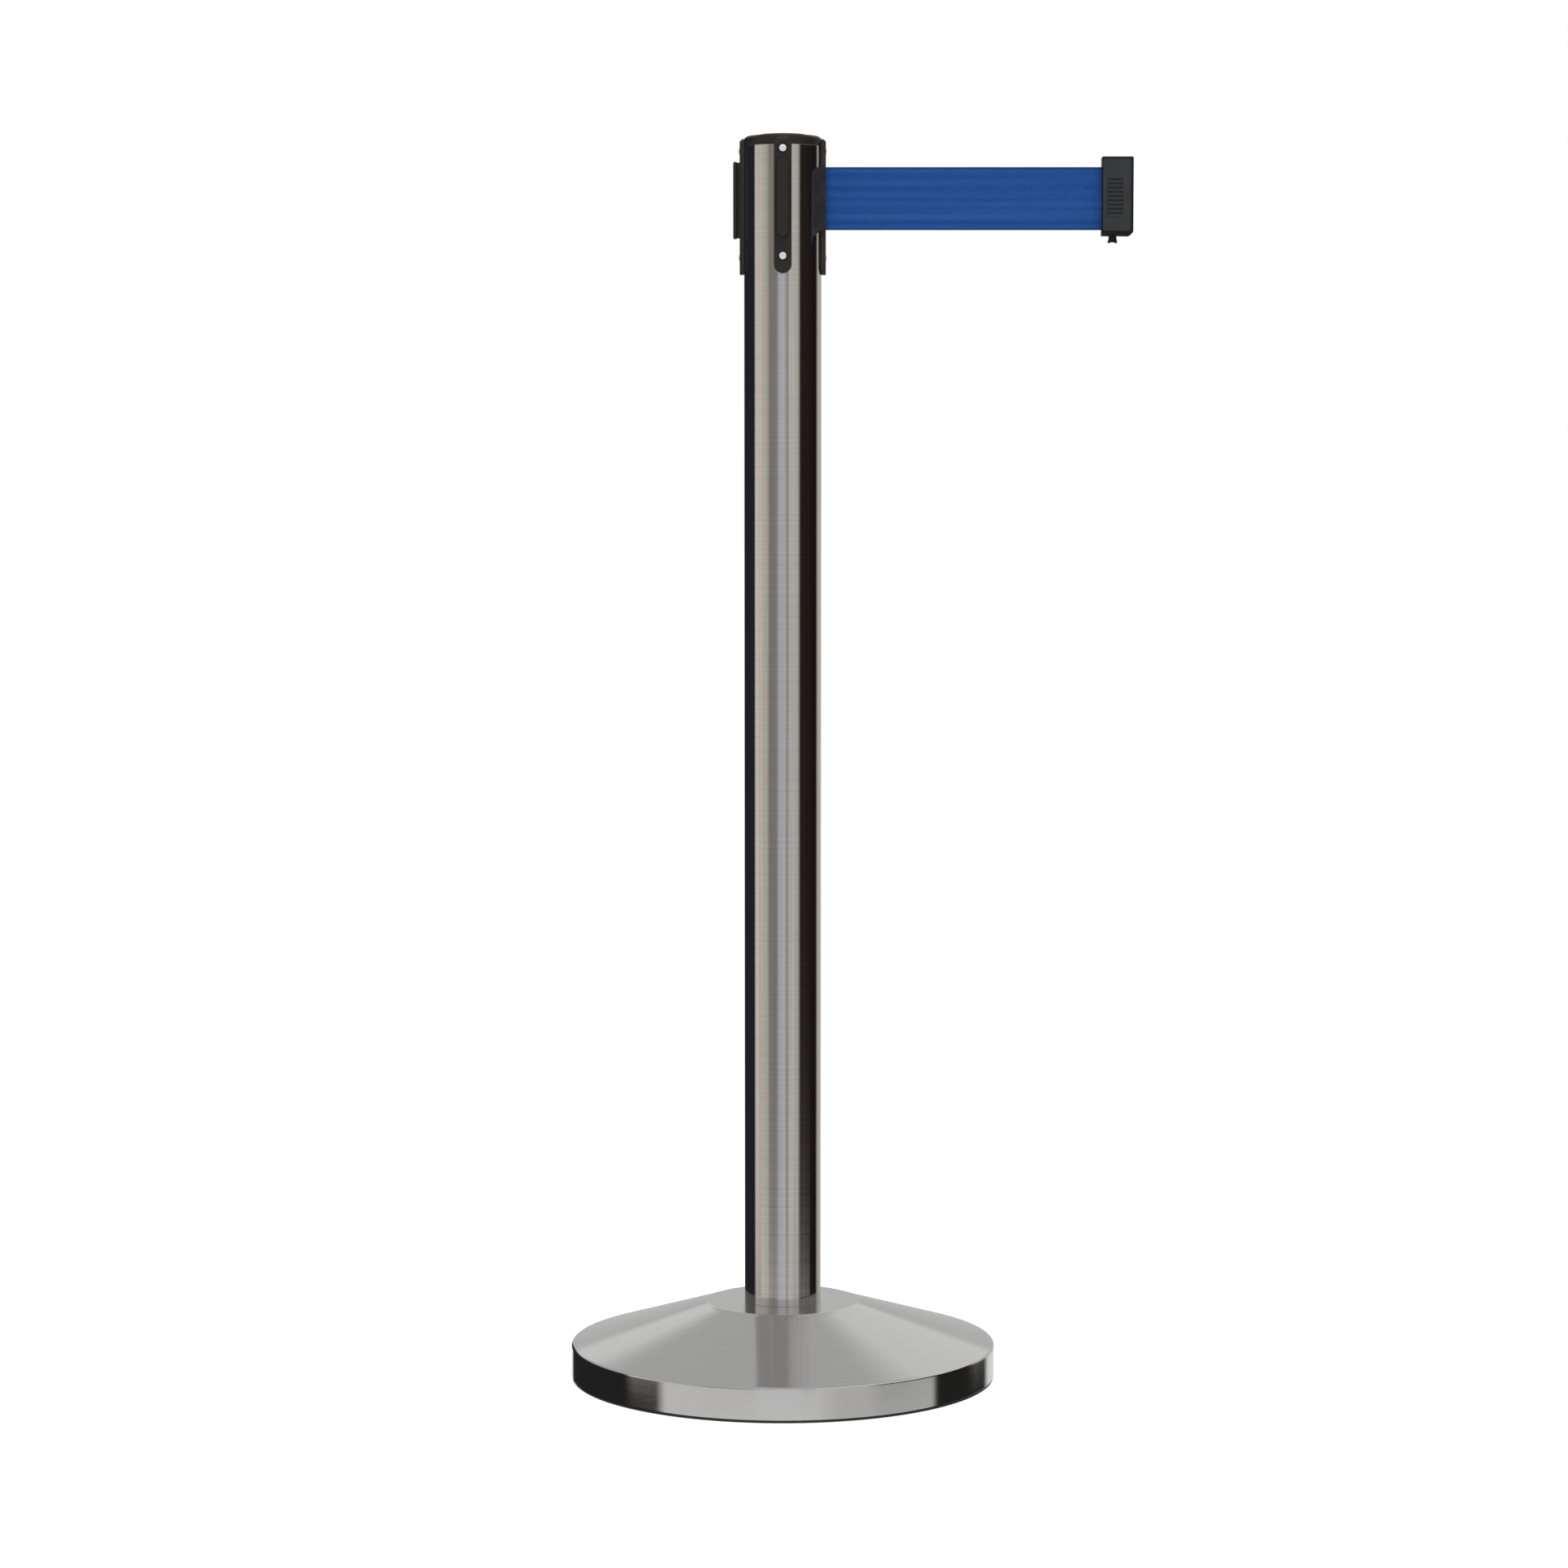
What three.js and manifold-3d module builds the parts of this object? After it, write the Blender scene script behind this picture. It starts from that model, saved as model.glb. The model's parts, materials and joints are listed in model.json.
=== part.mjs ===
// Retractable belt stanchion: a post with a weighted base and a spring-return belt.
//
// Millimetres, +Z up. The origin is on the floor at the post's axis. The belt leaves
// towards +X and the front of the post faces -Y.

import * as THREE from 'three';
import { mergeVertices } from 'three/addons/utils/BufferGeometryUtils.js';
import Module from 'manifold-3d';

const wasm = await Module();
wasm.setup();

// ---- Driving dimensions ----

const GAP = 0.3;                    // clearance between neighbouring pieces
const HEIGHT = 1020;
const HEAD_X = [20, 40];            // spans wider than the head's walls, for cuts
const HEAD_Z = [900, 1030];

const RIM_R = 175;                  // base
const RIM_BEVEL = 1.2;
const CONE_TOP_R = 66;
const CONE_TOP_Z = 61.9;
const CONE_SLOPE = 0.308;
const COVER_TOP_Z = 63.2;
const COVER_SHEET = 1.2;
const FLOOR_RING_H = 1.9;
const FLOOR_RING_R = [158, 174.4];
const RING_BEAD_R = [160, 164];
const RING_BEAD_Z = 5.2;

const BOLT_R = 6;                   // M12 bolt up through the base
const BOLT_FLATS = 19;
const BOLT_HEAD_Z = [4.5, 12];
const BOLT_END_Z = 76.5;
const WASHER_H = 3;
const WASHER_R = 22;

const CROWN_R = 19.5;                // flat disc in the middle of the cap
const POST_R = 31.5;
const POST_WALL = 1.2;
const POST_BORE_R = POST_R - POST_WALL;
const POST_Z = [COVER_TOP_Z + GAP, 1010.5];
const FOOT_PLUG_H = 10;

const STRIP_W = 14.3;               // receiver strips on the head
const STRIP_FACE_X = 35;
const STRIP_Z = [907, 1017];
const STRIP_BEVEL = 0.6;
const STRIP_SHOULDER = 2.5;          // chamfer across the strip's upper end
const STRIP_SCREW_Z = [921, 1007];
const TBAR_NECK_W = 5.6;
const TBAR_HEAD_W = 9.3;
const TBAR_X = [37.1, 40.3];
const TBAR_Z = [936, 998.5];

const SCREW_SHANK_R = 1.5;
const SCREW_HEAD_R = 3;
const SCREW_TIP_X = 26.2;
const SCREW_HOLE_R = SCREW_SHANK_R + GAP;
const SCREW_RECESS_R = 4.3;
const SCREW_SEAT_X = 33.8;

const BELT_W = 50.8;
const BELT_T = 0.6;
const BELT_MID_Z = 968.8;
const BELT_Z = [BELT_MID_Z - BELT_W / 2, BELT_MID_Z + BELT_W / 2];
const COIL_R = 21.2;
const SLOT_HALF = [2, BELT_W / 2 + 1.4];
const BEZEL_HALF_W = 21.5;          // wedge-sided guard round the slot
const BEZEL_SHOULDER = 13.5;
const BEZEL_FALL = 5.8;             // how far its side corners hang below its middle
const BEZEL_Z = [942, 993.4];
const BEZEL_EDGE_X = 24.8;
const BEZEL_FACE_X = 34.4;

const HOUSING_R = POST_BORE_R - 0.4;
const HOUSING_RING_R = 25.6;        // bore of the thick rings that take the screws
const HOUSING_WALL_R = 27.9;
const HOUSING_Z = [913, 1012.2];
const LOW_RING_TOP_Z = 928;
const PIN_LUG_X = [24, 28.6];       // lugs that hold the guide pins
const PIN_LUG_FOOT_Z = 933;
const LEDGE_R = 23.5;
const LEDGE_Z = [1000.3, 1002.9];
const WINDOW_HALF_W = 5.5;
const WINDOW_Z = [939.2, 998.6];
const BASE_PLATE_Z = [906, HOUSING_Z[0] - GAP];
const LID_Z = [LEDGE_Z[1] + GAP, 1005.2];
const LID_R = HOUSING_RING_R - GAP;
const PLATE_SCREW_RADIUS = 27.7;
const PLATE_SCREW_R = 1.2;
const PLATE_SCREW_AZIMUTHS = [45, 225];

const SPINDLE_R = 3;
const SPINDLE_TOP_Z = 1008.3;
const CLIP_GROOVE_Z = [1005.5, 1006.7];
const CLIP_GROOVE_R = 2.3;
const SPOOL_BORE_R = 5.2;
const SPOOL_HUB_R = 10;
const FLANGE_R = 24;
const FLANGE_LOW_Z = [940, 942];
const FLANGE_HIGH_Z = [995.5, 997.5];
const ARBOR_R = 6.5;
const ARBOR_Z = 914.8;
const BUSH_H = 5.5;

const BARREL_R = 23.4;
const BARREL_WALL = 0.9;
const BARREL_Z = [913, 935.8];
const BARREL_FLOOR_H = 1.5;
const SPRING_TURNS = 5;
const SPRING_STEPS = 14;             // per turn
const SPRING_T = 0.5;

const GEAR_MODULE = 0.7;
const PRESSURE_ANGLE = 20;          // degrees
const ADDENDUM = 0.75;              // modules
const DEDENDUM = 1.2;
const TOOTH_SHARE = 0.4;            // of the pitch, under a half, for backlash
const SPOOL_TEETH = 36;
const PINION_TEETH = 12;
const GEAR_Z = [998, 1002];
const GEAR_DISTANCE = GEAR_MODULE * (SPOOL_TEETH + PINION_TEETH) / 2;
const BRAKE_AZIMUTH = 225;          // degrees, between two teeth of the spool gear
const DRUM_R = [6.8, 7.8];
const DRUM_TOP_Z = 1010.5;
const ROTOR_Z = [1005.8, 1009.5];
const PINION_SHAFT_R = 1.5;

const GUIDE_R = 2.2;                // polished pins on each side of the belt
const GUIDE_X = 27;
const GUIDE_Y = BELT_T / 2 + 0.25 + GUIDE_R;
const GUIDE_Z = [934.5, 1001.6];

const CLIP_X = [259, 284.5];        // docking clip on the belt's end
const CLIP_HALF_Y = 8;
const CLIP_Z = [938.6, 1002.4];
const CLIP_CORNER = 1.5;
const CLIP_CHAMFER = 3;
const CLIP_WALL = 1.6;
const CHANNEL_X = [277.9, 282.7];
const CHANNEL_HALF_W = 5.3;
const CHANNEL_LIP_HALF = 3.5;
const CHANNEL_TOP_Z = 1000.4;
const CAVITY_X = [CLIP_X[0] + CLIP_WALL, 276.1];
const CAVITY_HALF_Y = CLIP_HALF_Y - CLIP_WALL;
const CAVITY_Z = [940.4, 1000.8];
const CLIP_FOOT_Z = [942, 942.3];   // top of the foot, bottom of the shells
const CLIP_PIN_X = 262.6;
const CLIP_PIN_R = 1;
const CLIP_PIN_Z = [942.4, 997];
const CLIP_ROOM_X = [250, 290];     // spans wider than the clip, for cuts
const CLIP_ROOM_Z = [930, 1010];
const PIN_SEAT_X = 264.2;           // block that holds the belt pin's upper end
const PIN_SEAT_Z = 994.8;
const CLIP_SCREW_X = 271.5;
const CLIP_SCREW_Z = [968, 995.5];
const CLIP_SCREW_R = 1;
const CLIP_SCREW_TIP_Y = -4.8;
const CLIP_SCREW_HEAD_R = 2.2;
const CLIP_SCREW_HEAD_Y = 6.5;
const CLIP_BOSS_R = 3.6;
const RIB_COUNT = 10;
const RIB_X = [263.2, 275.8];
const RIB_Z = [954, 986.3];
const RIB_H = 0.6;
const RIB_SCREW_ROOM = 4;            // from a screw's middle to the middle of the next rib
const PIVOT = [271, 952.5];         // latch lever's axis, x and z
const PIVOT_R = 1;
const PIN_PLAY = 0.25;              // round the clip's pins
const LEVER_HALF_Y = 2.6;
const LEVER_PLAY = 0.6;             // beside the lever
const LEVER_SLOT_X = 263.4;
const LEVER_SLOT_TOP_Z = 945.5;
const LEVER_SIDE = [                // x, z: thumb tab, tooth, then the arm up to the spring
  [263.9, 932.6], [267.9, 933.8], [271.9, 932.6], [271.2, 936.2], [270.9, 938.4],
  [275.4, 938.9], [276.8, 939], [279, 941], [279, 941.8], [276.4, 942.8], [274.6, 943.2],
  [273, 948.6], [272.6, 960.6], [269, 960.6], [268.6, 948.6], [265.7, 941], [265.2, 938.4],
  [264.8, 936],
];
const LATCH_SPRING_X = [272.6, 275.8];
const LATCH_SPRING_Z = 958.4;

const SEG_BASE = 40;
const SEG_POST = 36;
const SEG_HIDDEN = 24;
const SEG_SMALL = 10;

const SIDES = { mouth: 0, back: 90, left: 180, front: 270 };
const rad = THREE.MathUtils.degToRad;

// ---- Solids ----

/** A closed geometry as a solid: only positions, shared vertices merged. */
function toSolid(geometry) {
  const bare = geometry.clone();
  bare.deleteAttribute('normal');
  bare.deleteAttribute('uv');
  const merged = mergeVertices(bare, 1e-4);
  const triangles = [];
  const index = merged.index.array;
  for (let i = 0; i < index.length; i += 3) {
    const [a, b, c] = index.slice(i, i + 3);
    if (a !== b && b !== c && c !== a) triangles.push(a, b, c);
  }
  return new wasm.Manifold(new wasm.Mesh({
    numProp: 3,
    vertProperties: merged.attributes.position.array,
    triVerts: Uint32Array.from(triangles),
  }));
}

const asSolid = (shape) => (shape.isBufferGeometry ? toSolid(shape) : shape);
const join = (...shapes) => shapes.map(asSolid).reduce((all, next) => all.add(next));
const cut = (body, ...tools) =>
  tools.map(asSolid).reduce((all, next) => all.subtract(next), asSolid(body));
const common = (...shapes) => shapes.map(asSolid).reduce((all, next) => all.intersect(next));

function toGeometry(solid) {
  const { vertProperties, triVerts } = solid.getMesh();
  const indexed = new THREE.BufferGeometry();
  indexed.setAttribute('position', new THREE.BufferAttribute(vertProperties, 3));
  indexed.setIndex(new THREE.BufferAttribute(triVerts, 1));
  const geometry = indexed.toNonIndexed();
  geometry.computeVertexNormals();
  return geometry;
}

/** Turns an outline of [r, z] points, anticlockwise, about Z. */
function lathe(outline, segments = SEG_POST) {
  const points = outline.map(([r, z]) => new THREE.Vector2(r, z));
  const onAxis = outline[0][0] === 0 && outline.at(-1)[0] === 0;
  if (!onAxis) points.push(points[0].clone());
  return new THREE.LatheGeometry(points, segments).rotateX(Math.PI / 2);
}

const disc = (r, [z0, z1], segments) => lathe([[0, z0], [r, z0], [r, z1], [0, z1]], segments);
const ring = (r0, r1, [z0, z1], segments) => lathe([[r0, z0], [r1, z0], [r1, z1], [r0, z1]], segments);

function box([x0, x1], [y0, y1], [z0, z1]) {
  return new THREE.BoxGeometry(x1 - x0, y1 - y0, z1 - z0)
    .translate((x0 + x1) / 2, (y0 + y1) / 2, (z0 + z1) / 2);
}

const rodZ = (r, x, y, zSpan, segments = SEG_SMALL) => disc(r, zSpan, segments).translate(x, y, 0);
const rodX = (r, xSpan, y, z, segments = SEG_SMALL) =>
  disc(r, xSpan, segments).rotateY(Math.PI / 2).translate(0, y, z);
const rodY = (r, x, [y0, y1], z, segments = SEG_SMALL) =>
  disc(r, [-y1, -y0], segments).rotateX(Math.PI / 2).translate(x, 0, z);

const shapeOf = (points) => new THREE.Shape(points.map(([u, v]) => new THREE.Vector2(u, v)));

function extrudeZ(shape, [z0, z1], curveSegments = 8) {
  return new THREE.ExtrudeGeometry(shape, { depth: z1 - z0, bevelEnabled: false, curveSegments })
    .translate(0, 0, z0);
}

/** A shape drawn in (y, z) and pushed along X, with its outer edge bevelled. */
function extrudeX(shape, [x0, x1], bevel = 0, curveSegments = 8) {
  const axes = new THREE.Matrix4().makeBasis(
    new THREE.Vector3(0, 1, 0), new THREE.Vector3(0, 0, 1), new THREE.Vector3(1, 0, 0));
  return new THREE.ExtrudeGeometry(shape, {
    depth: x1 - x0 - 2 * bevel,
    bevelEnabled: bevel > 0,
    bevelThickness: bevel,
    bevelSize: bevel,
    bevelOffset: -bevel,
    bevelSegments: 1,
    curveSegments,
  }).translate(0, 0, x0 + bevel).applyMatrix4(axes);
}

/** A shape drawn in (x, z) and pushed along Y. */
function extrudeY(shape, [y0, y1], curveSegments = 6) {
  return extrudeZ(shape, [-y1, -y0], curveSegments).rotateX(Math.PI / 2);
}

/** An upright outline with round ends, in (y, z). */
function stadium(width, [z0, z1]) {
  const r = width / 2;
  const shape = new THREE.Shape();
  shape.absarc(0, z0 + r, r, Math.PI, 2 * Math.PI, false);
  shape.absarc(0, z1 - r, r, 0, Math.PI, false);
  return shape;
}

/** A flat band of even thickness along a list of points in (x, y). */
function ribbon(path, thickness, zSpan) {
  const sides = [1, -1].map((side) => path.map((point, i) => {
    const before = path[Math.max(i - 1, 0)];
    const after = path[Math.min(i + 1, path.length - 1)];
    const along = new THREE.Vector2().subVectors(after, before).normalize();
    return [point.x - along.y * side * thickness / 2, point.y + along.x * side * thickness / 2];
  }));
  return extrudeZ(shapeOf([...sides[0], ...sides[1].reverse()]), zSpan);
}

const polar = (r, degrees) => new THREE.Vector2(r * Math.cos(rad(degrees)), r * Math.sin(rad(degrees)));

const material = (color, roughness, metalness = 0) =>
  new THREE.MeshStandardMaterial({ color, roughness, metalness });
const looks = {
  stainless: () => material('#b9b5af', 0.3, 1),
  steel: () => material('#9a9da1', 0.35, 1),
  springSteel: () => material('#6d6a68', 0.4, 1),
  blackPlastic: () => material('#2b2824', 0.5),
  greyPlastic: () => material('#37383b', 0.6),
  whitePlastic: () => material('#d8d6cf', 0.5),
  brass: () => material('#b08d4a', 0.35, 1),
  rubber: () => material('#1b1b1c', 0.85),
  concrete: () => material('#9c9890', 0.95),
  webbing: () => material('#264b87', 0.85),
};

/** A named mesh in the parent group. */
function piece(parent, name, shape, look) {
  const mesh = new THREE.Mesh(toGeometry(asSolid(shape)), looks[look]());
  mesh.name = name;
  parent.add(mesh);
}

// ---- Base ----

/** Outline of the base from its foot at the rim to its top, set in from the surface. */
function baseOutline(inset, footZ) {
  const lift = Math.hypot(1, CONE_SLOPE);
  const coneZ = (r) => CONE_TOP_Z - (r - CONE_TOP_R) * CONE_SLOPE - inset * lift;
  const rimR = RIM_R - inset;
  return [
    [rimR, footZ],
    [rimR, coneZ(rimR) - RIM_BEVEL],
    [rimR - RIM_BEVEL, coneZ(rimR - RIM_BEVEL)],
    [CONE_TOP_R, coneZ(CONE_TOP_R)],
    [CONE_TOP_R - 2, COVER_TOP_Z - 0.5 - inset],
    [CONE_TOP_R - 5, COVER_TOP_Z - inset],
  ];
}

function floorRing() {
  return lathe([
    [FLOOR_RING_R[0], 0], [FLOOR_RING_R[1], 0], [FLOOR_RING_R[1], FLOOR_RING_H],
    [RING_BEAD_R[1], FLOOR_RING_H], [RING_BEAD_R[1], RING_BEAD_Z],
    [RING_BEAD_R[0], RING_BEAD_Z], [RING_BEAD_R[0], FLOOR_RING_H], [FLOOR_RING_R[0], FLOOR_RING_H],
  ], SEG_BASE);
}

function baseCover() {
  const footZ = FLOOR_RING_H + GAP;
  const holeR = BOLT_R + 1;
  const outside = baseOutline(0, footZ);
  const inside = baseOutline(COVER_SHEET, footZ).reverse();
  return lathe([
    ...outside, [holeR, COVER_TOP_Z], [holeR, COVER_TOP_Z - COVER_SHEET], ...inside,
  ], SEG_BASE);
}

function baseWeight() {
  const footZ = FLOOR_RING_H + 2 * GAP;
  const inset = COVER_SHEET + GAP;
  const holeR = BOLT_R + 1;
  const recessR = WASHER_R + 6;
  const recessZ = BOLT_HEAD_Z[1] + WASHER_H + 2 * GAP;
  return lathe([
    [holeR, recessZ], [recessR, recessZ], [recessR, footZ],
    [RING_BEAD_R[0] - GAP, footZ], [RING_BEAD_R[0] - GAP, RING_BEAD_Z + GAP],
    [RING_BEAD_R[1] + GAP, RING_BEAD_Z + GAP], [RING_BEAD_R[1] + GAP, footZ],
    ...baseOutline(inset, footZ), [holeR, COVER_TOP_Z - inset],
  ], SEG_BASE);
}

function baseBolt() {
  const cornerR = BOLT_FLATS / 2 / Math.cos(Math.PI / 6);
  return join(
    disc(cornerR, BOLT_HEAD_Z, 6),
    disc(BOLT_R, [BOLT_HEAD_Z[0] + 1, BOLT_END_Z], 12),
  );
}

function baseWasher() {
  const z0 = BOLT_HEAD_Z[1] + GAP;
  return ring(BOLT_R + GAP, WASHER_R, [z0, z0 + WASHER_H], SEG_HIDDEN);
}

function buildBase(parent) {
  piece(parent, 'floor_ring', floorRing(), 'rubber');
  piece(parent, 'base_weight', baseWeight(), 'concrete');
  piece(parent, 'base_cover', baseCover(), 'stainless');
  piece(parent, 'base_bolt', baseBolt(), 'steel');
  piece(parent, 'base_washer', baseWasher(), 'steel');
}

// ---- Post ----

const atEverySide = (make) => Object.values(SIDES).map((degrees) => make().rotateZ(rad(degrees)));
const screwHoles = (z) => atEverySide(() => rodX(SCREW_HOLE_R, HEAD_X, 0, z));

function postTube() {
  const tube = ring(POST_BORE_R, POST_R, POST_Z);
  const window = box(HEAD_X, [-WINDOW_HALF_W, WINDOW_HALF_W], WINDOW_Z);
  return cut(tube, window, ...STRIP_SCREW_Z.flatMap((z) => screwHoles(z)));
}

function buildPost(parent) {
  const plugZ = [POST_Z[0], POST_Z[0] + FOOT_PLUG_H];
  piece(parent, 'post_tube', postTube(), 'stainless');
  piece(parent, 'post_foot_plug', ring(BOLT_R + GAP, POST_BORE_R - GAP, plugZ, SEG_HIDDEN), 'steel');
}

// ---- Head: cap, receivers, mouth and their screws, drawn on the +X side ----

function topCap() {
  const z0 = POST_Z[1] + GAP;
  const recessR = HOUSING_R + GAP;
  const recessTopZ = HOUSING_Z[1] + 0.6;
  return lathe([
    [0, recessTopZ], [recessR, recessTopZ], [recessR, z0], [POST_R, z0],
    [POST_R, HEIGHT - 5.6], [POST_R - 0.9, HEIGHT - 3.7], [POST_R - 3.2, HEIGHT - 2.3],
    [CROWN_R + 1, HEIGHT - 0.8], [CROWN_R, HEIGHT], [0, HEIGHT],
  ]);
}

/** The strip with its back curved to the tube and two screw recesses. */
function strip() {
  const plate = extrudeX(stadium(STRIP_W, STRIP_Z), [26, STRIP_FACE_X], STRIP_BEVEL);
  const recesses = STRIP_SCREW_Z.flatMap((z) => [
    rodX(SCREW_HOLE_R, HEAD_X, 0, z),
    rodX(SCREW_RECESS_R, [SCREW_SEAT_X, HEAD_X[1]], 0, z),
  ]);
  const [x, z, c] = [STRIP_FACE_X, STRIP_Z[1], STRIP_SHOULDER];
  const corner = shapeOf([[x - 2 * c, z + c], [x + c, z - 2 * c], [x + c, z + c]]);
  const shoulder = extrudeY(corner, [-STRIP_W, STRIP_W]);
  return cut(plate, disc(POST_R + GAP, HEAD_Z), shoulder, ...recesses);
}

function receiver() {
  const neck = extrudeX(stadium(TBAR_NECK_W, TBAR_Z), [STRIP_FACE_X - 1, TBAR_X[1] - 1]);
  const head = extrudeX(stadium(TBAR_HEAD_W, TBAR_Z), TBAR_X, STRIP_BEVEL);
  return join(strip(), neck, head);
}

function beltMouth() {
  const [z0, z1] = BEZEL_Z;
  const [w, s] = [BEZEL_HALF_W, BEZEL_SHOULDER];
  const outline = extrudeX(shapeOf([
    [-w, z0 - BEZEL_FALL], [-s, z0], [s, z0], [w, z0 - BEZEL_FALL],
    [w, z1 - BEZEL_FALL], [s, z1], [-s, z1], [-w, z1 - BEZEL_FALL],
  ]), HEAD_X);
  const wedge = extrudeZ(shapeOf([
    [HEAD_X[0], -w], [BEZEL_EDGE_X, -w], [BEZEL_FACE_X, -STRIP_W / 2],
    [BEZEL_FACE_X, STRIP_W / 2], [BEZEL_EDGE_X, w], [HEAD_X[0], w],
  ]), HEAD_Z);
  const guard = cut(common(outline, wedge), disc(POST_R + GAP, HEAD_Z));
  const slot = box(HEAD_X, [-SLOT_HALF[0], SLOT_HALF[0]],
    [BELT_MID_Z - SLOT_HALF[1], BELT_MID_Z + SLOT_HALF[1]]);
  return cut(join(strip(), guard), slot);
}

/** A dome-head screw along X with a dimple in its head. */
function headScrew() {
  const seat = SCREW_SEAT_X + GAP;
  const [rim, top] = [seat + 0.6, seat + 1.7];
  return lathe([
    [0, SCREW_TIP_X], [SCREW_SHANK_R, SCREW_TIP_X + 1], [SCREW_SHANK_R, seat],
    [SCREW_HEAD_R, seat], [SCREW_HEAD_R, rim], [SCREW_HEAD_R * 0.75, rim + 0.75],
    [SCREW_HEAD_R * 0.35, top], [0, top - 0.7],
  ], SEG_SMALL).rotateY(Math.PI / 2);
}

function buildHead(parent) {
  piece(parent, 'top_cap', topCap(), 'blackPlastic');
  for (const [side, degrees] of Object.entries(SIDES)) {
    const group = new THREE.Group();
    group.rotation.z = rad(degrees);
    parent.add(group);
    if (side === 'mouth') piece(group, 'belt_mouth', beltMouth(), 'blackPlastic');
    else piece(group, `receiver_${side}`, receiver(), 'blackPlastic');
    ['lower', 'upper'].forEach((level, i) => {
      const screw = headScrew().translate(0, 0, STRIP_SCREW_Z[i]);
      piece(group, `screw_${side}_${level}`, screw, 'steel');
    });
  }
}

// ---- Belt cassette inside the tube ----

function plateScrewHoles(zSpan) {
  return PLATE_SCREW_AZIMUTHS.map((degrees) => {
    const { x, y } = polar(PLATE_SCREW_RADIUS, degrees);
    return rodZ(PLATE_SCREW_R + GAP, x, y, zSpan, 12);
  });
}

function cassetteHousing() {
  const [z0, z1] = HOUSING_Z;
  const wall = lathe([
    [HOUSING_RING_R, z0], [HOUSING_R, z0], [HOUSING_R, z1], [HOUSING_RING_R, z1],
    [HOUSING_RING_R, LEDGE_Z[1]], [LEDGE_R, LEDGE_Z[1]], [LEDGE_R, LEDGE_Z[0]],
    [HOUSING_WALL_R, LEDGE_Z[0]], [HOUSING_WALL_R, LOW_RING_TOP_Z],
    [HOUSING_RING_R, LOW_RING_TOP_Z],
  ], SEG_HIDDEN);
  const lugHalfY = GUIDE_Y + 3.5;
  const lugs = [[PIN_LUG_FOOT_Z, WINDOW_Z[0]], [WINDOW_Z[1], LEDGE_Z[1]]].map((zSpan) =>
    box(PIN_LUG_X, [-lugHalfY, lugHalfY], zSpan));
  const window = box([PIN_LUG_X[0], HEAD_X[1]], [-WINDOW_HALF_W, WINDOW_HALF_W], WINDOW_Z);
  const pinHoles = [-GUIDE_Y, GUIDE_Y].map((y) =>
    rodZ(GUIDE_R + GAP, GUIDE_X, y, [GUIDE_Z[0] - GAP, GUIDE_Z[1] + GAP]));
  const plateHoles = plateScrewHoles([z0 - 1, z0 + 9]);
  const sideHoles = STRIP_SCREW_Z.flatMap((z) => screwHoles(z));
  return cut(join(wall, ...lugs), window, ...pinHoles, ...plateHoles, ...sideHoles);
}

function cassetteBasePlate() {
  const plate = ring(SPINDLE_R + GAP, HOUSING_R, BASE_PLATE_Z, SEG_HIDDEN);
  return cut(plate, ...plateScrewHoles(HEAD_Z));
}

function plateScrew(degrees) {
  const { x, y } = polar(PLATE_SCREW_RADIUS, degrees);
  const headZ = BASE_PLATE_Z[0] - GAP;
  const [headR, headH] = [2.15, 1.6];
  const tipZ = HOUSING_Z[0] + 8;
  return lathe([
    [0, headZ - headH], [headR - 0.25, headZ - headH], [headR, headZ],
    [PLATE_SCREW_R, headZ], [PLATE_SCREW_R, tipZ - 1], [0, tipZ],
  ], 12).translate(x, y, 0);
}

function cassetteLid() {
  const { x, y } = polar(GEAR_DISTANCE, BRAKE_AZIMUTH);
  const plate = ring(SPINDLE_R + GAP, LID_R, LID_Z, SEG_HIDDEN);
  const drum = ring(DRUM_R[0], DRUM_R[1], [LID_Z[1] - 1, DRUM_TOP_Z], 16).translate(x, y, 0);
  return cut(join(plate, drum), rodZ(PINION_SHAFT_R + GAP, x, y, [LID_Z[0] - 1, LID_Z[1] + 1]));
}

function spindle() {
  const headZ = BASE_PLATE_Z[0] - GAP;
  const [headR, headH] = [SPINDLE_R + 2.5, 2];
  return lathe([
    [0, headZ - headH], [headR, headZ - headH], [headR, headZ], [SPINDLE_R, headZ],
    [SPINDLE_R, CLIP_GROOVE_Z[0]], [CLIP_GROOVE_R, CLIP_GROOVE_Z[0]],
    [CLIP_GROOVE_R, CLIP_GROOVE_Z[1]], [SPINDLE_R, CLIP_GROOVE_Z[1]],
    [SPINDLE_R, SPINDLE_TOP_Z - 0.5], [SPINDLE_R - 0.5, SPINDLE_TOP_Z], [0, SPINDLE_TOP_Z],
  ], 16);
}

function spindleClip() {
  const zSpan = [CLIP_GROOVE_Z[0] + GAP, CLIP_GROOVE_Z[1] - GAP];
  const [rimR, mouthHalf] = [SPINDLE_R + 2.2, 1.8];
  const mouth = box([0, rimR + 1], [-mouthHalf, mouthHalf], HEAD_Z);
  return cut(ring(CLIP_GROOVE_R + GAP, rimR, zSpan, 16), mouth);
}

function guidePin(y) {
  return rodZ(GUIDE_R, GUIDE_X, y, GUIDE_Z, 12);
}

function springBarrel() {
  const [z0, z1] = BARREL_Z;
  const floorZ = z0 + BARREL_FLOOR_H;
  const boreR = BARREL_R - BARREL_WALL;
  return lathe([
    [SPINDLE_R + GAP, z0], [BARREL_R, z0], [BARREL_R, z1], [boreR, z1],
    [boreR, floorZ], [SPINDLE_R + GAP, floorZ],
  ], SEG_HIDDEN);
}

function springCover() {
  return ring(ARBOR_R + GAP, BARREL_R, [BARREL_Z[1] + GAP, BARREL_Z[1] + 1.8], SEG_HIDDEN);
}

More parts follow.
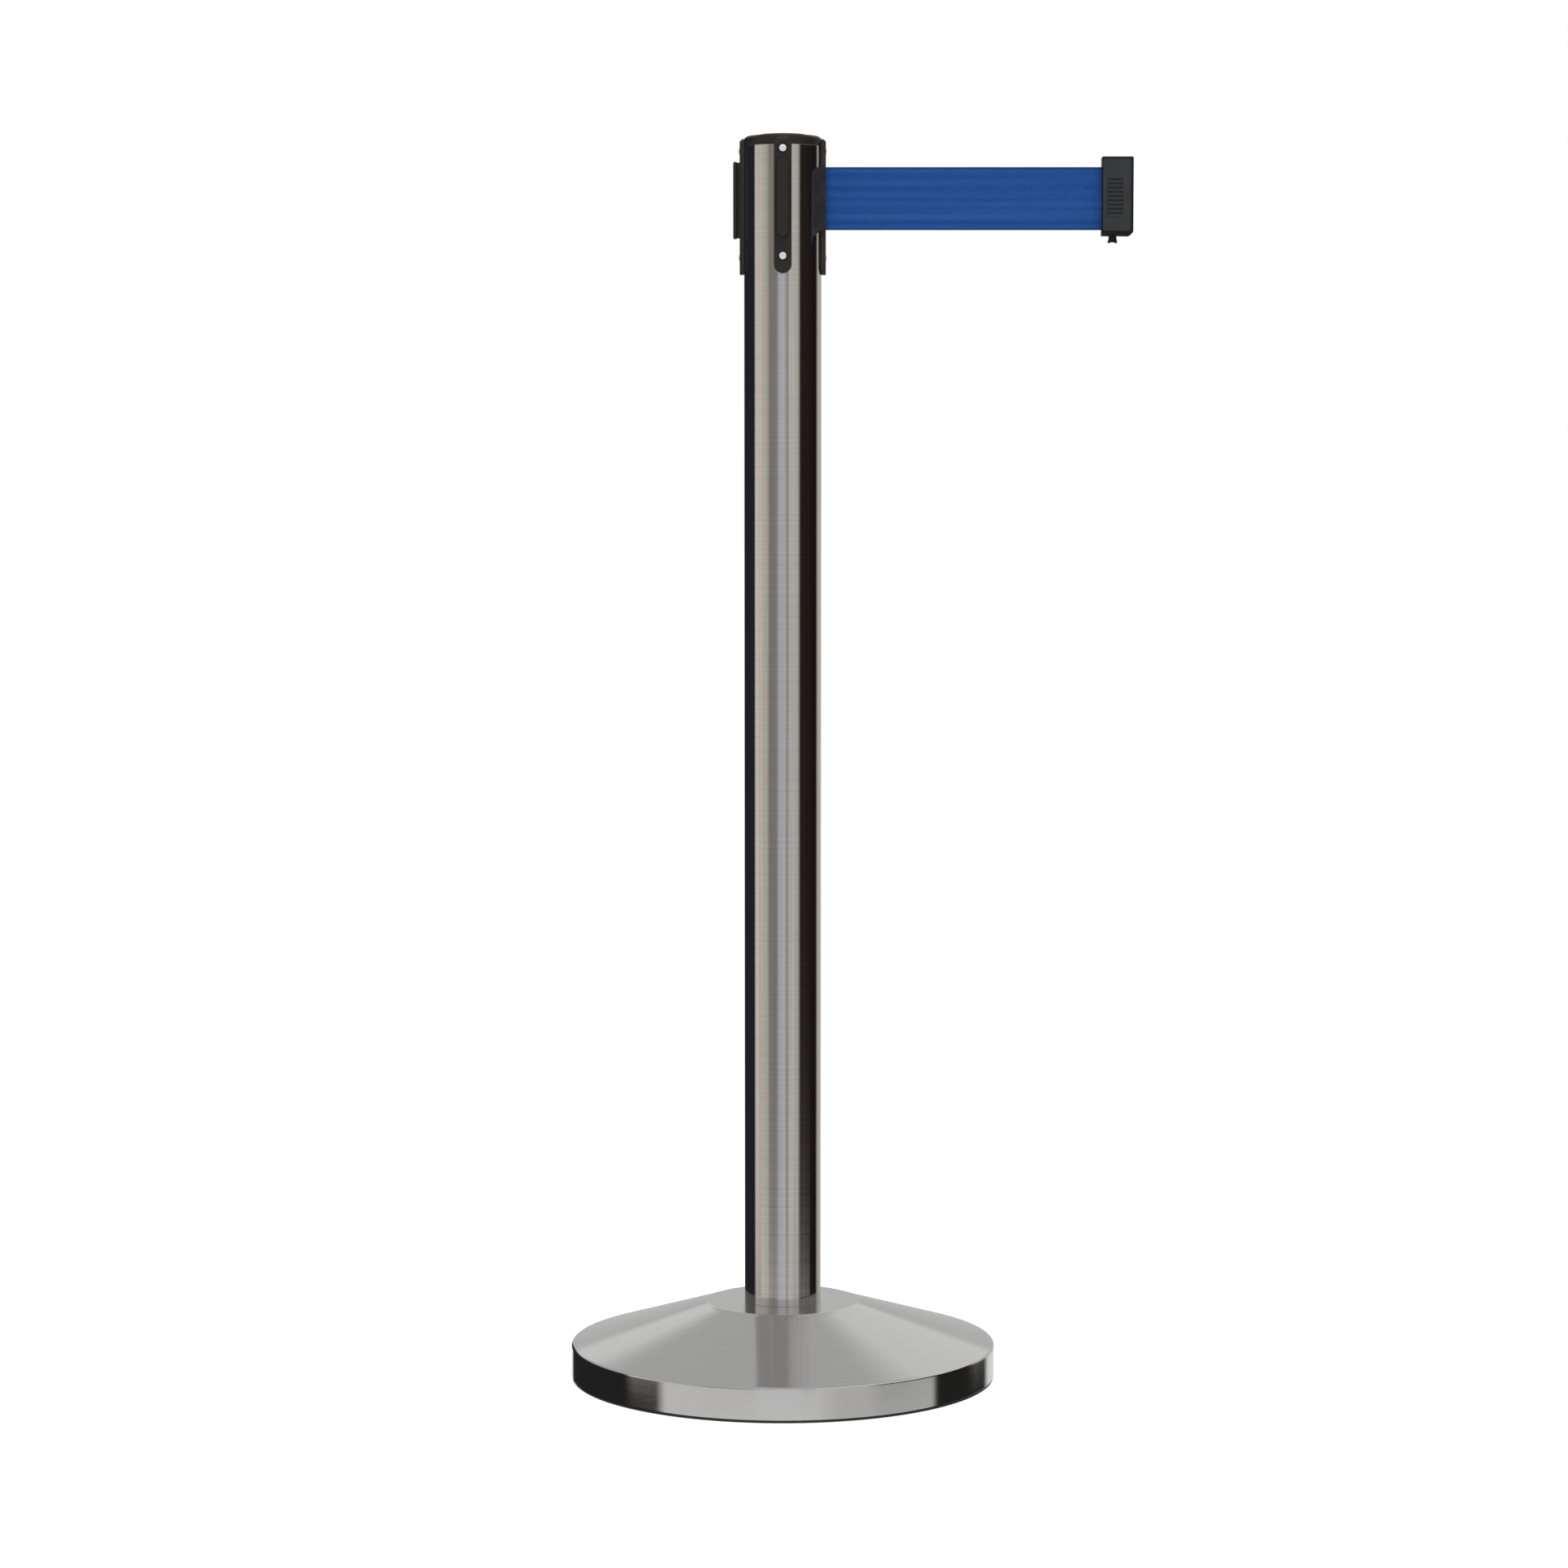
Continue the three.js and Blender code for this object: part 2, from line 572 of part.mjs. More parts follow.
/** The clock spring: a spiral strip round the spool's arbor. */
function powerSpring() {
  const startR = ARBOR_R + 0.8;
  const endR = BARREL_R - BARREL_WALL - 0.7;
  const steps = SPRING_TURNS * SPRING_STEPS;
  const path = [];
  for (let i = 0; i <= steps; i += 1) {
    path.push(polar(startR + (endR - startR) * i / steps, 360 * SPRING_TURNS * i / steps));
  }
  return ribbon(path, SPRING_T, [BARREL_Z[0] + 3, BARREL_Z[1] - 2]);
}

/** Outline of a spur gear with involute flanks; tooth 0 is centred on the angle given. */
function gearShape(teeth, centreDegrees, flankPoints) {
  const pitchR = GEAR_MODULE * teeth / 2;
  const baseR = pitchR * Math.cos(rad(PRESSURE_ANGLE));
  const rootR = pitchR - DEDENDUM * GEAR_MODULE;
  const tipR = pitchR + ADDENDUM * GEAR_MODULE;
  const involute = (r) => {
    const t = Math.sqrt(Math.max((r / baseR) ** 2 - 1, 0));
    return t - Math.atan(t);
  };
  const halfAtPitch = TOOTH_SHARE * Math.PI / teeth;
  const halfAngle = (r) => halfAtPitch + involute(pitchR) - involute(Math.max(r, baseR));
  const flank = flankPoints > 2 ? [rootR, pitchR, tipR] : [rootR, tipR];
  const points = [];
  for (let tooth = 0; tooth < teeth; tooth += 1) {
    const centre = rad(centreDegrees) + 2 * Math.PI * tooth / teeth;
    const place = (r, angle) => points.push([r * Math.cos(angle), r * Math.sin(angle)]);
    flank.forEach((r) => place(r, centre - halfAngle(r)));
    flank.toReversed().forEach((r) => place(r, centre + halfAngle(r)));
  }
  return shapeOf(points);
}

function spool() {
  const neckR = 8;
  const neckZ = FLANGE_LOW_Z[0] - 1.6;
  const body = lathe([
    [0, ARBOR_Z], [ARBOR_R, ARBOR_Z], [ARBOR_R, neckZ],
    [neckR, neckZ], [neckR, FLANGE_LOW_Z[0]],
    [FLANGE_R, FLANGE_LOW_Z[0]], [FLANGE_R, FLANGE_LOW_Z[1]], [SPOOL_HUB_R, FLANGE_LOW_Z[1]],
    [SPOOL_HUB_R, FLANGE_HIGH_Z[0]], [FLANGE_R, FLANGE_HIGH_Z[0]], [FLANGE_R, FLANGE_HIGH_Z[1]],
    [SPOOL_HUB_R, FLANGE_HIGH_Z[1]], [SPOOL_HUB_R, GEAR_Z[0] + 1], [0, GEAR_Z[0] + 1],
  ], SEG_HIDDEN);
  const gear = extrudeZ(gearShape(SPOOL_TEETH, 0, 2), GEAR_Z);
  return cut(join(body, gear), disc(SPOOL_BORE_R, HEAD_Z, 12));
}

const bush = (z0) => ring(SPINDLE_R + GAP, SPOOL_BORE_R - GAP, [z0, z0 + BUSH_H], 12);

function brakePinion() {
  const { x, y } = polar(GEAR_DISTANCE, BRAKE_AZIMUTH);
  const toothCentre = BRAKE_AZIMUTH - 180;
  const gear = extrudeZ(gearShape(PINION_TEETH, toothCentre, 3), GEAR_Z).translate(x, y, 0);
  return join(gear, rodZ(PINION_SHAFT_R, x, y, [GEAR_Z[1] - 1, DRUM_TOP_Z + 1]));
}

/** Hub with two flexing arms that carry friction weights near the drum's wall. */
function brakeRotor() {
  const { x, y } = polar(GEAR_DISTANCE, BRAKE_AZIMUTH);
  const [innerR, outerR] = [4.3, 6.2];
  const [start, stop] = [rad(-10), rad(115)];
  const [z0, z1] = ROTOR_Z;
  const halves = [0, Math.PI].map((turn) => {
    const shape = new THREE.Shape();
    shape.absarc(0, 0, outerR, start, stop, false);
    shape.absarc(0, 0, innerR, stop, start, true);
    const arm = box([1.5, outerR - 0.8], [-0.9, 0.3], ROTOR_Z);
    return join(extrudeZ(shape, ROTOR_Z, 6).rotateZ(turn), arm.rotateZ(turn));
  });
  const hub = disc(2.8, ROTOR_Z, 16);
  const bore = disc(PINION_SHAFT_R + GAP, [z0 - 1, z1 + 1]);
  return toGeometry(cut(join(hub, ...halves), bore)).translate(x, y, 0);
}

/** The belt from the coil, round the front guide pin and out to the slot. */
function beltLead() {
  const coilR = COIL_R + GAP + BELT_T / 2;
  const pinR = GUIDE_Y;
  const pin = new THREE.Vector2(GUIDE_X, -GUIDE_Y);
  const normal = THREE.MathUtils.radToDeg(pin.angle() + Math.acos(-(coilR + pinR) / pin.length()));
  const path = [polar(coilR, normal + 180)];
  const turned = ((normal % 360) + 360) % 360;
  const steps = 5;
  for (let i = 0; i <= steps; i += 1) {
    path.push(polar(pinR, turned + (90 - turned) * i / steps).add(pin));
  }
  path.push(new THREE.Vector2(STRIP_FACE_X + GAP, 0));
  return ribbon(path, BELT_T, BELT_Z);
}

function buildCassette(parent) {
  piece(parent, 'cassette_housing', cassetteHousing(), 'blackPlastic');
  piece(parent, 'cassette_base_plate', cassetteBasePlate(), 'blackPlastic');
  piece(parent, 'cassette_lid', cassetteLid(), 'blackPlastic');
  const [azimuthA, azimuthB] = PLATE_SCREW_AZIMUTHS;
  piece(parent, 'base_plate_screw_a', plateScrew(azimuthA), 'steel');
  piece(parent, 'base_plate_screw_b', plateScrew(azimuthB), 'steel');
  piece(parent, 'spindle', spindle(), 'steel');
  piece(parent, 'spindle_clip', spindleClip(), 'springSteel');
  piece(parent, 'guide_pin_front', guidePin(-GUIDE_Y), 'steel');
  piece(parent, 'guide_pin_back', guidePin(GUIDE_Y), 'steel');
  piece(parent, 'spring_barrel', springBarrel(), 'whitePlastic');
  piece(parent, 'spring_cover', springCover(), 'whitePlastic');
  piece(parent, 'power_spring', powerSpring(), 'springSteel');
  piece(parent, 'belt_lead', beltLead(), 'webbing');
}

function buildSpool(parent) {
  piece(parent, 'spool', spool(), 'whitePlastic');
  piece(parent, 'bush_lower', bush(ARBOR_Z), 'brass');
  piece(parent, 'bush_upper', bush(GEAR_Z[1] - BUSH_H), 'brass');
  piece(parent, 'belt_coil', ring(SPOOL_HUB_R + GAP, COIL_R, BELT_Z, SEG_HIDDEN), 'webbing');
}

function buildBrake(parent) {
  piece(parent, 'brake_pinion', brakePinion(), 'whitePlastic');
  piece(parent, 'brake_rotor', brakeRotor(), 'blackPlastic');
}

// ---- Belt and its docking clip ----

function beltTailLoop() {
  const sewn = box([CLIP_X[0], CLIP_PIN_X - CLIP_PIN_R - 0.4], [-BELT_T, BELT_T], BELT_Z);
  const inner = CLIP_PIN_R + PIN_PLAY;
  const loop = ring(inner, inner + BELT_T, BELT_Z, 20).translate(CLIP_PIN_X, 0, 0);
  return join(sewn, loop);
}

/** Both shells in one: the moulded case before it is split at y = 0. */
function clipCase() {
  const c = CLIP_CORNER;
  const [[x0, x1], y, [z0, z1]] = [CLIP_X, CLIP_HALF_Y, CLIP_Z];
  const plan = new THREE.Shape();
  plan.absarc(x1 - c, y - c, c, 0, Math.PI / 2, false);
  plan.absarc(x0 + c, y - c, c, Math.PI / 2, Math.PI, false);
  plan.absarc(x0 + c, c - y, c, Math.PI, 1.5 * Math.PI, false);
  plan.absarc(x1 - c, c - y, c, 1.5 * Math.PI, 2 * Math.PI, false);
  const side = shapeOf([
    [x0, z0 + 0.6], [x0 + 0.6, z0], [x1 - CLIP_CHAMFER, z0], [x1, z0 + CLIP_CHAMFER],
    [x1, z1 - 0.6], [x1 - 0.6, z1], [x0 + 0.6, z1], [x0, z1 - 0.6],
  ]);
  return common(extrudeZ(plan, CLIP_Z, 3), extrudeY(side, [-y, y]));
}

function clipHollows() {
  const channelZ = [CLIP_Z[0] - 1, CHANNEL_TOP_Z];
  const leverY = LEVER_HALF_Y + LEVER_PLAY;
  return [
    box(CHANNEL_X, [-CHANNEL_HALF_W, CHANNEL_HALF_W], channelZ),
    box([CHANNEL_X[1] - 1, CLIP_X[1] + 1], [-CHANNEL_LIP_HALF, CHANNEL_LIP_HALF], channelZ),
    box(CAVITY_X, [-CAVITY_HALF_Y, CAVITY_HALF_Y], CAVITY_Z),
    box([CLIP_X[0] - 1, CAVITY_X[0] + 1], [-0.9, 0.9], [BELT_Z[0] - 1, BELT_Z[1] + 1]),
    box([LEVER_SLOT_X, CHANNEL_X[0] + 1], [-leverY, leverY], [CLIP_Z[0] - 1, LEVER_SLOT_TOP_Z]),
  ];
}

/** Bosses and seats inside the case, which the hollows leave standing. */
function clipBosses() {
  const halfY = CAVITY_HALF_Y + 0.5;
  const leverY = LEVER_HALF_Y + LEVER_PLAY;
  const screwBosses = CLIP_SCREW_Z.map((z) =>
    rodY(CLIP_BOSS_R, CLIP_SCREW_X, [-halfY, halfY], z));
  const pivotSeats = [[-halfY, -leverY], [leverY, halfY]].map((ySpan) =>
    rodY(2.6, PIVOT[0], ySpan, PIVOT[1]));
  const pinSeat = box(
    [CAVITY_X[0] - 0.5, PIN_SEAT_X], [-halfY, halfY], [PIN_SEAT_Z, CAVITY_Z[1] + 0.5]);
  return [...screwBosses, ...pivotSeats, pinSeat];
}

function clipHoles() {
  const outsideY = CLIP_HALF_Y + 1;
  const screws = CLIP_SCREW_Z.flatMap((z) => [
    rodY(CLIP_SCREW_R + GAP, CLIP_SCREW_X, [CLIP_SCREW_TIP_Y - 0.7, outsideY], z, 8),
    rodY(CLIP_SCREW_HEAD_R + 0.4, CLIP_SCREW_X, [CLIP_SCREW_HEAD_Y - GAP, outsideY], z),
  ]);
  return [
    ...screws,
    rodY(PIVOT_R + PIN_PLAY, PIVOT[0], [-6, 6], PIVOT[1]),
    rodZ(CLIP_PIN_R + PIN_PLAY, CLIP_PIN_X, 0, [CLIP_PIN_Z[0] - GAP, CLIP_PIN_Z[1] + GAP]),
  ];
}

/** The ribs of one face; on the back they leave room round the screw heads. */
function gripRibs(side) {
  const pitch = (RIB_Z[1] - RIB_Z[0]) / (RIB_COUNT - 0.5);
  const ys = [side * (CLIP_HALF_Y - 0.5), side * (CLIP_HALF_Y + RIB_H)].sort((a, b) => a - b);
  const clear = (z) => CLIP_SCREW_Z.every((screwZ) => Math.abs(z - screwZ) > RIB_SCREW_ROOM);
  return Array.from({ length: RIB_COUNT }, (_, i) => RIB_Z[0] + i * pitch)
    .filter((z) => side < 0 || clear(z + pitch / 4))
    .map((z) => box(RIB_X, ys, [z, z + pitch / 2]));
}

function clipShell(side) {
  const whole = join(cut(clipCase(), ...clipHollows()), ...clipBosses(), ...gripRibs(side));
  const split = GAP / 2;
  const half = side < 0 ? [-20, -split] : [split, 20];
  const room = box(CLIP_ROOM_X, half, [CLIP_FOOT_Z[1], CLIP_ROOM_Z[1]]);
  return cut(common(whole, room), ...clipHoles());
}

/** The black foot that closes the case below, with the lever's opening. */
function clipFoot() {
  const [[x0, x1], y] = [CAVITY_X, CAVITY_HALF_Y - GAP];
  const topZ = CLIP_FOOT_Z[0];
  const wall = 1.8;
  const spigot = cut(
    box([x0 + GAP, x1 - GAP], [-y, y], [topZ - 1, topZ + 1]),
    box([x0 + 2 * wall, x1 + 1], [wall - y, y - wall], [topZ - 2, topZ + 2]),
  );
  const slab = common(clipCase(), box(CLIP_ROOM_X, [-20, 20], [CLIP_ROOM_Z[0], topZ]));
  const [channel, lips, , , leverSlot] = clipHollows();
  const pinHole = rodZ(CLIP_PIN_R + PIN_PLAY, CLIP_PIN_X, 0, [CLIP_PIN_Z[0] - GAP, topZ + 2]);
  return cut(join(slab, spigot), channel, lips, leverSlot, pinHole);
}

function clipScrew(z) {
  const [r, headR, headY] = [CLIP_SCREW_R, CLIP_SCREW_HEAD_R, CLIP_SCREW_HEAD_Y];
  return lathe([
    [0, CLIP_SCREW_TIP_Y], [r, CLIP_SCREW_TIP_Y + 0.8], [r, headY], [headR, headY],
    [headR, headY + 0.8], [headR - 1, headY + 1.3], [0, headY + 0.8],
  ], SEG_SMALL).rotateX(-Math.PI / 2).translate(CLIP_SCREW_X, 0, z);
}

/** Lever with a flared thumb tab below the case and a tooth that reaches into the channel. */
function latchLever() {
  const body = extrudeY(shapeOf(LEVER_SIDE), [-LEVER_HALF_Y, LEVER_HALF_Y]);
  const collar = rodY(2.8, PIVOT[0], [-LEVER_HALF_Y, LEVER_HALF_Y], PIVOT[1]);
  return cut(join(body, collar), rodY(PIVOT_R + PIN_PLAY, PIVOT[0], [-5, 5], PIVOT[1]));
}

const pivotPin = () => rodY(PIVOT_R, PIVOT[0], [-5.6, 5.6], PIVOT[1]);

class Helix extends THREE.Curve {
  constructor(radius, length, turns) {
    super();
    Object.assign(this, { radius, length, turns });
  }

  getPoint(t) {
    const angle = 2 * Math.PI * this.turns * t;
    return new THREE.Vector3(
      this.length * t, this.radius * Math.cos(angle), this.radius * Math.sin(angle));
  }
}

function latchSpring() {
  const wireR = 0.25;
  const turns = 3;
  const [x0, x1] = LATCH_SPRING_X;
  const wire = new THREE.Shape().absarc(0, 0, wireR, 0, 2 * Math.PI, false);
  const path = new Helix(1.3, x1 - x0 - 2 * wireR, turns);
  return new THREE.ExtrudeGeometry(wire, { steps: turns * 9, curveSegments: 5, extrudePath: path })
    .translate(x0 + wireR, 0, LATCH_SPRING_Z);
}

function buildBeltEnd(parent) {
  const webbingX = [STRIP_FACE_X + 2 * GAP, CLIP_X[0] - GAP];
  const halfT = BELT_T / 2;
  piece(parent, 'belt_webbing', box(webbingX, [-halfT, halfT], BELT_Z), 'webbing');
  piece(parent, 'belt_tail_loop', beltTailLoop(), 'webbing');
  piece(parent, 'clip_belt_pin', rodZ(CLIP_PIN_R, CLIP_PIN_X, 0, CLIP_PIN_Z), 'steel');
  piece(parent, 'clip_front_shell', clipShell(-1), 'greyPlastic');
  piece(parent, 'clip_back_shell', clipShell(1), 'greyPlastic');
  piece(parent, 'clip_foot', clipFoot(), 'blackPlastic');
  piece(parent, 'clip_screw_lower', clipScrew(CLIP_SCREW_Z[0]), 'steel');
  piece(parent, 'clip_screw_upper', clipScrew(CLIP_SCREW_Z[1]), 'steel');
  piece(parent, 'latch_pivot_pin', pivotPin(), 'steel');
  piece(parent, 'latch_spring', latchSpring(), 'springSteel');
  piece(parent, 'latch_lever', latchLever(), 'blackPlastic');
}

// ---- Assembly ----

const stanchion = new THREE.Group();
buildBase(stanchion);
buildPost(stanchion);
buildHead(stanchion);
buildCassette(stanchion);
buildSpool(stanchion);
buildBrake(stanchion);
buildBeltEnd(stanchion);

export default stanchion;
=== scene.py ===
"""Looks of the retractable belt stanchion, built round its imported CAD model.

Metres, +Z up, the origin on the floor at the post's axis, the belt towards +X, the front
of the post towards -Y. Places come from the CAD nodes' boxes.
"""
import json
import math

import bmesh
import bpy
from mathutils import Matrix, Vector


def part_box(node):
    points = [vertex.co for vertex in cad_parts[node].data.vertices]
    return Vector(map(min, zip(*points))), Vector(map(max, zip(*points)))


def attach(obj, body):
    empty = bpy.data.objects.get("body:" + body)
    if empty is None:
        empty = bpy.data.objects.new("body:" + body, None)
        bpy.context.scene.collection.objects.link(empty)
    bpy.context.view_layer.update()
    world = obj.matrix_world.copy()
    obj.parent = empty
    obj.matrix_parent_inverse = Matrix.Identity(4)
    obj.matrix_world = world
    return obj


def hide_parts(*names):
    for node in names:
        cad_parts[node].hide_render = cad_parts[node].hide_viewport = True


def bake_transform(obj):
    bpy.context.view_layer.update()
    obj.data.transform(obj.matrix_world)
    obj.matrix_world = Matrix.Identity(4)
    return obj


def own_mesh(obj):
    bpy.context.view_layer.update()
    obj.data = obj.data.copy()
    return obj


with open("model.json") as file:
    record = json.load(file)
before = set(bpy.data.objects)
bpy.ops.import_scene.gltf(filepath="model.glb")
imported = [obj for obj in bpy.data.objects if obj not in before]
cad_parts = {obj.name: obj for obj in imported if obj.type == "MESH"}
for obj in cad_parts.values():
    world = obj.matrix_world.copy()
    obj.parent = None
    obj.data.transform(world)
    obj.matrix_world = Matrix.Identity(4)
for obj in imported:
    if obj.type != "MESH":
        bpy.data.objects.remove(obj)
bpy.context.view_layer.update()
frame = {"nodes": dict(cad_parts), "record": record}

MM = 0.001
TAU = 2 * math.pi

# ---- Driving dimensions, from the frame ----

cover_lo, cover_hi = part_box("base_cover")
ring_lo, ring_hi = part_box("floor_ring")
tube_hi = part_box("post_tube")[1]
cap_lo, cap_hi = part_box("top_cap")
strip_lo, strip_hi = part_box("receiver_left")
belt_lo, belt_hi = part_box("belt_webbing")
coil_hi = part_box("belt_coil")[1]
shell_lo, shell_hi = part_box("clip_front_shell")
foot_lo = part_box("clip_foot")[0]
lever_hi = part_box("latch_lever")[1]

GAP = 0.3 * MM
ROUND, WIDE_ROUND = 192, 256   # sides of a turned piece and of the base

# Base
RIM_R = cover_hi[0]
SHEET = 1.2 * MM               # wall of the cover and of the tube
CONE_TOP_R = 66 * MM
CONE_TOP_Z = cover_hi[2] - 1.3 * MM
CONE_SLOPE = 0.308
FLAT_TOP_R = CONE_TOP_R - 3.5 * MM
BOLT_HOLE_R = 7 * MM
RING_INNER_R = 158 * MM
RING_TOP_Z = 1.9 * MM
BEAD_R = (160 * MM, 164 * MM)

# Post and cap
POST_R = tube_hi[0]
POST_FOOT_Z = cover_hi[2] + 0.05 * MM
WINDOW_HALF_W = 5.5 * MM
WINDOW_Z = (939.2 * MM, 998.6 * MM)
CAP_RECESS_R = 30.2 * MM
CAP_RECESS_Z = 1012.8 * MM
CROWN_R = 19.5 * MM
CROWN_RINGS = 5

# Receivers and mouth
HEAD_SPAN_Z = (0.9, 1.03)      # heights that a cutter through the whole head spans
STRIP_W = strip_hi[1] - strip_lo[1]
STRIP_Z = (strip_lo[2], strip_hi[2])
STRIP_BACK_X = 27 * MM
STRIP_FACE_X = 35 * MM
STRIP_SHOULDER = 2.5 * MM
TBAR_NECK_W = 5.6 * MM
TBAR_HEAD_W = 9.3 * MM
TBAR_HEAD_X = (37.1 * MM, 40.3 * MM)
TBAR_Z = (936 * MM, 998.5 * MM)
TBAR_NECK_SHORTER = 0.6 * MM
SCREW_Z = {"lower": 921 * MM, "upper": 1007 * MM}
SCREW_SEAT_X = 34.1 * MM
SCREW_TIP_X = 26.2 * MM
SCREW_R = 3 * MM
SHANK_R = 1.5 * MM
SHANK_HOLE_R = 1.8 * MM
RECESS_R = 4.3 * MM
GUARD_HALF_W = 21.5 * MM       # wedge-sided guard round the belt's slot
GUARD_SHOULDER = 13.5 * MM
GUARD_FALL = 5.8 * MM
GUARD_Z = (942 * MM, 993.4 * MM)
GUARD_EDGE_X = 24.8 * MM
GUARD_FACE_X = 34.4 * MM
SLOT_HALF_W = 2 * MM
SLOT_ROOM = 1.4 * MM           # above and below the belt

# Belt
BELT_MID_Z = (belt_lo[2] + belt_hi[2]) / 2
BELT_W = belt_hi[2] - belt_lo[2]
BELT_T = belt_hi[1] - belt_lo[1]
BELT_LAP = 0.4 * MM            # how far the drawn belt reaches into the slots at its ends
SELVEDGE_T = 0.45              # of the belt's thickness
SELVEDGE_SHARE = 0.02          # of the belt's half width
STRIPE_PITCH = 9.5 * MM        # pale cords woven along the belt
STRIPE_TOP_Z = BELT_MID_Z + 13.8 * MM
COIL_R = coil_hi[0]
HUB_R = 10.3 * MM
COIL_T = 0.5 * MM              # one turn of the tightly wound belt
WOUND_LENGTH = 1.776
TAIL_SWING = math.radians(140)

# Clip
CLIP_SPAN_X = (0.25, 0.29)     # a cutter this large holds the whole clip
CLIP_SPAN_Y = 20 * MM
CLIP_SPAN_Z = (0.93, 1.01)
CASE_X = (shell_lo[0], shell_hi[0])
CASE_Z = (foot_lo[2], shell_hi[2])
CASE_HALF_Y = 8 * MM
CASE_CHAMFER = 3 * MM
CASE_EDGE_DEPTH = 1.5 * MM
CASE_FLAT_RING = 1.12          # a narrow flat band inside the rounded edge
CASE_EDGE_W = [w * MM for w in (1.3, 1.3, 2.1, 2.3, 1.1)]   # foot, chamfer, face, top, belt side
CLIP_WALL = 1.6 * MM
CAVITY_X = (CASE_X[0] + CLIP_WALL, 276.1 * MM)
CAVITY_HALF_Y = CASE_HALF_Y - CLIP_WALL
CAVITY_Z = (940.4 * MM, 1000.8 * MM)
CHANNEL_X = (277.9 * MM, 282.7 * MM)
CHANNEL_HALF_W = 5.3 * MM
CHANNEL_LIP_HALF = 3.5 * MM
CHANNEL_TOP_Z = 1000.4 * MM
SPLIT = GAP / 2
SHELL_FOOT_Z = shell_lo[2]
FOOT_TOP_Z = SHELL_FOOT_Z - GAP
# Bounds of the clip's face panels; the border left round them, widest along the top and the docking
# face, is painted shade
PANEL_X = (shell_lo[0] + 0.8 * MM, shell_hi[0] - 2.3 * MM)
PANEL_Z = (shell_lo[2] + 0.2 * MM, shell_hi[2] - 2.3 * MM)
PANEL_CORNER_R = 2.2 * MM
RIB_COUNT = 10
RIB_X = (263.2 * MM, 275.8 * MM)
RIB_Z = (954 * MM, 986.3 * MM)
RIB_PITCH = (RIB_Z[1] - RIB_Z[0]) / (RIB_COUNT - 0.5)
RIB_SHARE = 0.56               # of the pitch; the rest is the groove
RIB_H = 0.6 * MM
RIB_SCREW_ROOM = 4 * MM
CLIP_SCREW_X = 271.5 * MM
CLIP_SCREW_Z = {"lower": 968 * MM, "upper": 995.5 * MM}
CLIP_SCREW_SEAT_Y = 6.5 * MM
CLIP_SCREW_R = 2.2 * MM
COUNTERBORE_R = 2.6 * MM
BOSS_R = 3.6 * MM
BELT_PIN_X = 262.6 * MM
BELT_PIN_TOP_Z = 997.3 * MM
PIN_SEAT_END_X = 264.2 * MM
PIN_SEAT_FOOT_Z = 994.8 * MM
PIN_HOLE_R = 1.25 * MM
PIVOT = (271 * MM, 952.5 * MM)
PIVOT_SEAT_R = 2.6 * MM
COLLAR_R = 2.8 * MM
FOOT_WALL = 1.8 * MM
INSIDE_FOOT_Z = (0.94, 0.95)   # ends of the holes that start or stop inside the clip's foot
LEVER_HALF_Y = lever_hi[1]
LEVER_SLOT_HALF = LEVER_HALF_Y + 0.6 * MM
LEVER_SLOT_X = 263.4 * MM
LEVER_SLOT_TOP = 945.5 * MM

SIDES = {"mouth": 0, "back": 90, "left": 180, "front": 270}


# ---- Mesh helpers ----

def fillet(points, radii, closed=True, steps=5):
    """A flat outline with its corners rounded; radii holds one radius for each corner."""
    out = []
    count = len(points)
    for i, (point, radius) in enumerate(zip(points, radii)):
        at_end = not closed and i in (0, count - 1)
        if radius <= 0 or at_end:
            out.append(tuple(point))
            continue
        corner = Vector(point)
        before = (Vector(points[i - 1]) - corner).normalized()
        after = (Vector(points[(i + 1) % count]) - corner).normalized()
        half = before.angle(after) / 2
        reach = radius / math.tan(half)
        centre = corner + (before + after).normalized() * radius / math.sin(half)
        start = corner + before * reach - centre
        turn = start.angle_signed(corner + after * reach - centre)
        for k in range(steps + 1):
            spoke = Vector(start)
            spoke.rotate(Matrix.Rotation(-turn * k / steps, 2))
            out.append(tuple(centre + spoke))
    return out


def stadium(half_w, low, high, steps=16):
    """An upright outline with round ends."""
    top = [(half_w * math.cos(a), high - half_w + half_w * math.sin(a))
           for a in (math.pi * k / steps for k in range(steps + 1))]
    foot = [(half_w * math.cos(a), low + half_w + half_w * math.sin(a))
            for a in (math.pi + math.pi * k / steps for k in range(steps + 1))]
    return top + foot


def new_object(name, bm):
    """Turns a finished bmesh into an object of the scene."""
    bmesh.ops.remove_doubles(bm, verts=bm.verts, dist=1e-7)
    bmesh.ops.recalc_face_normals(bm, faces=bm.faces)
    mesh = bpy.data.meshes.new(name)
    bm.to_mesh(mesh)
    bm.free()
    obj = bpy.data.objects.new(name, mesh)
    bpy.context.scene.collection.objects.link(obj)
    return obj


def lathe(name, outline, segments=ROUND, closed=True):
    """An outline of (radius, z) points turned about Z."""
    bm = bmesh.new()
    rings = []
    for r, z in outline:
        rings.append([bm.verts.new((r * math.cos(TAU * k / segments),
                                    r * math.sin(TAU * k / segments), z))
                      for k in range(segments)])
    nexts = rings[1:] + rings[:1] if closed else rings[1:]
    for low, high in zip(rings, nexts):
        for k in range(segments):
            n = (k + 1) % segments
            bm.faces.new((low[k], low[n], high[n], high[k]))
    bmesh.ops.remove_doubles(bm, verts=bm.verts, dist=1e-7)
    flat = [f for f in bm.faces if f.calc_area() < 1e-14]
    bmesh.ops.delete(bm, geom=flat, context="FACES")
    return new_object(name, bm)


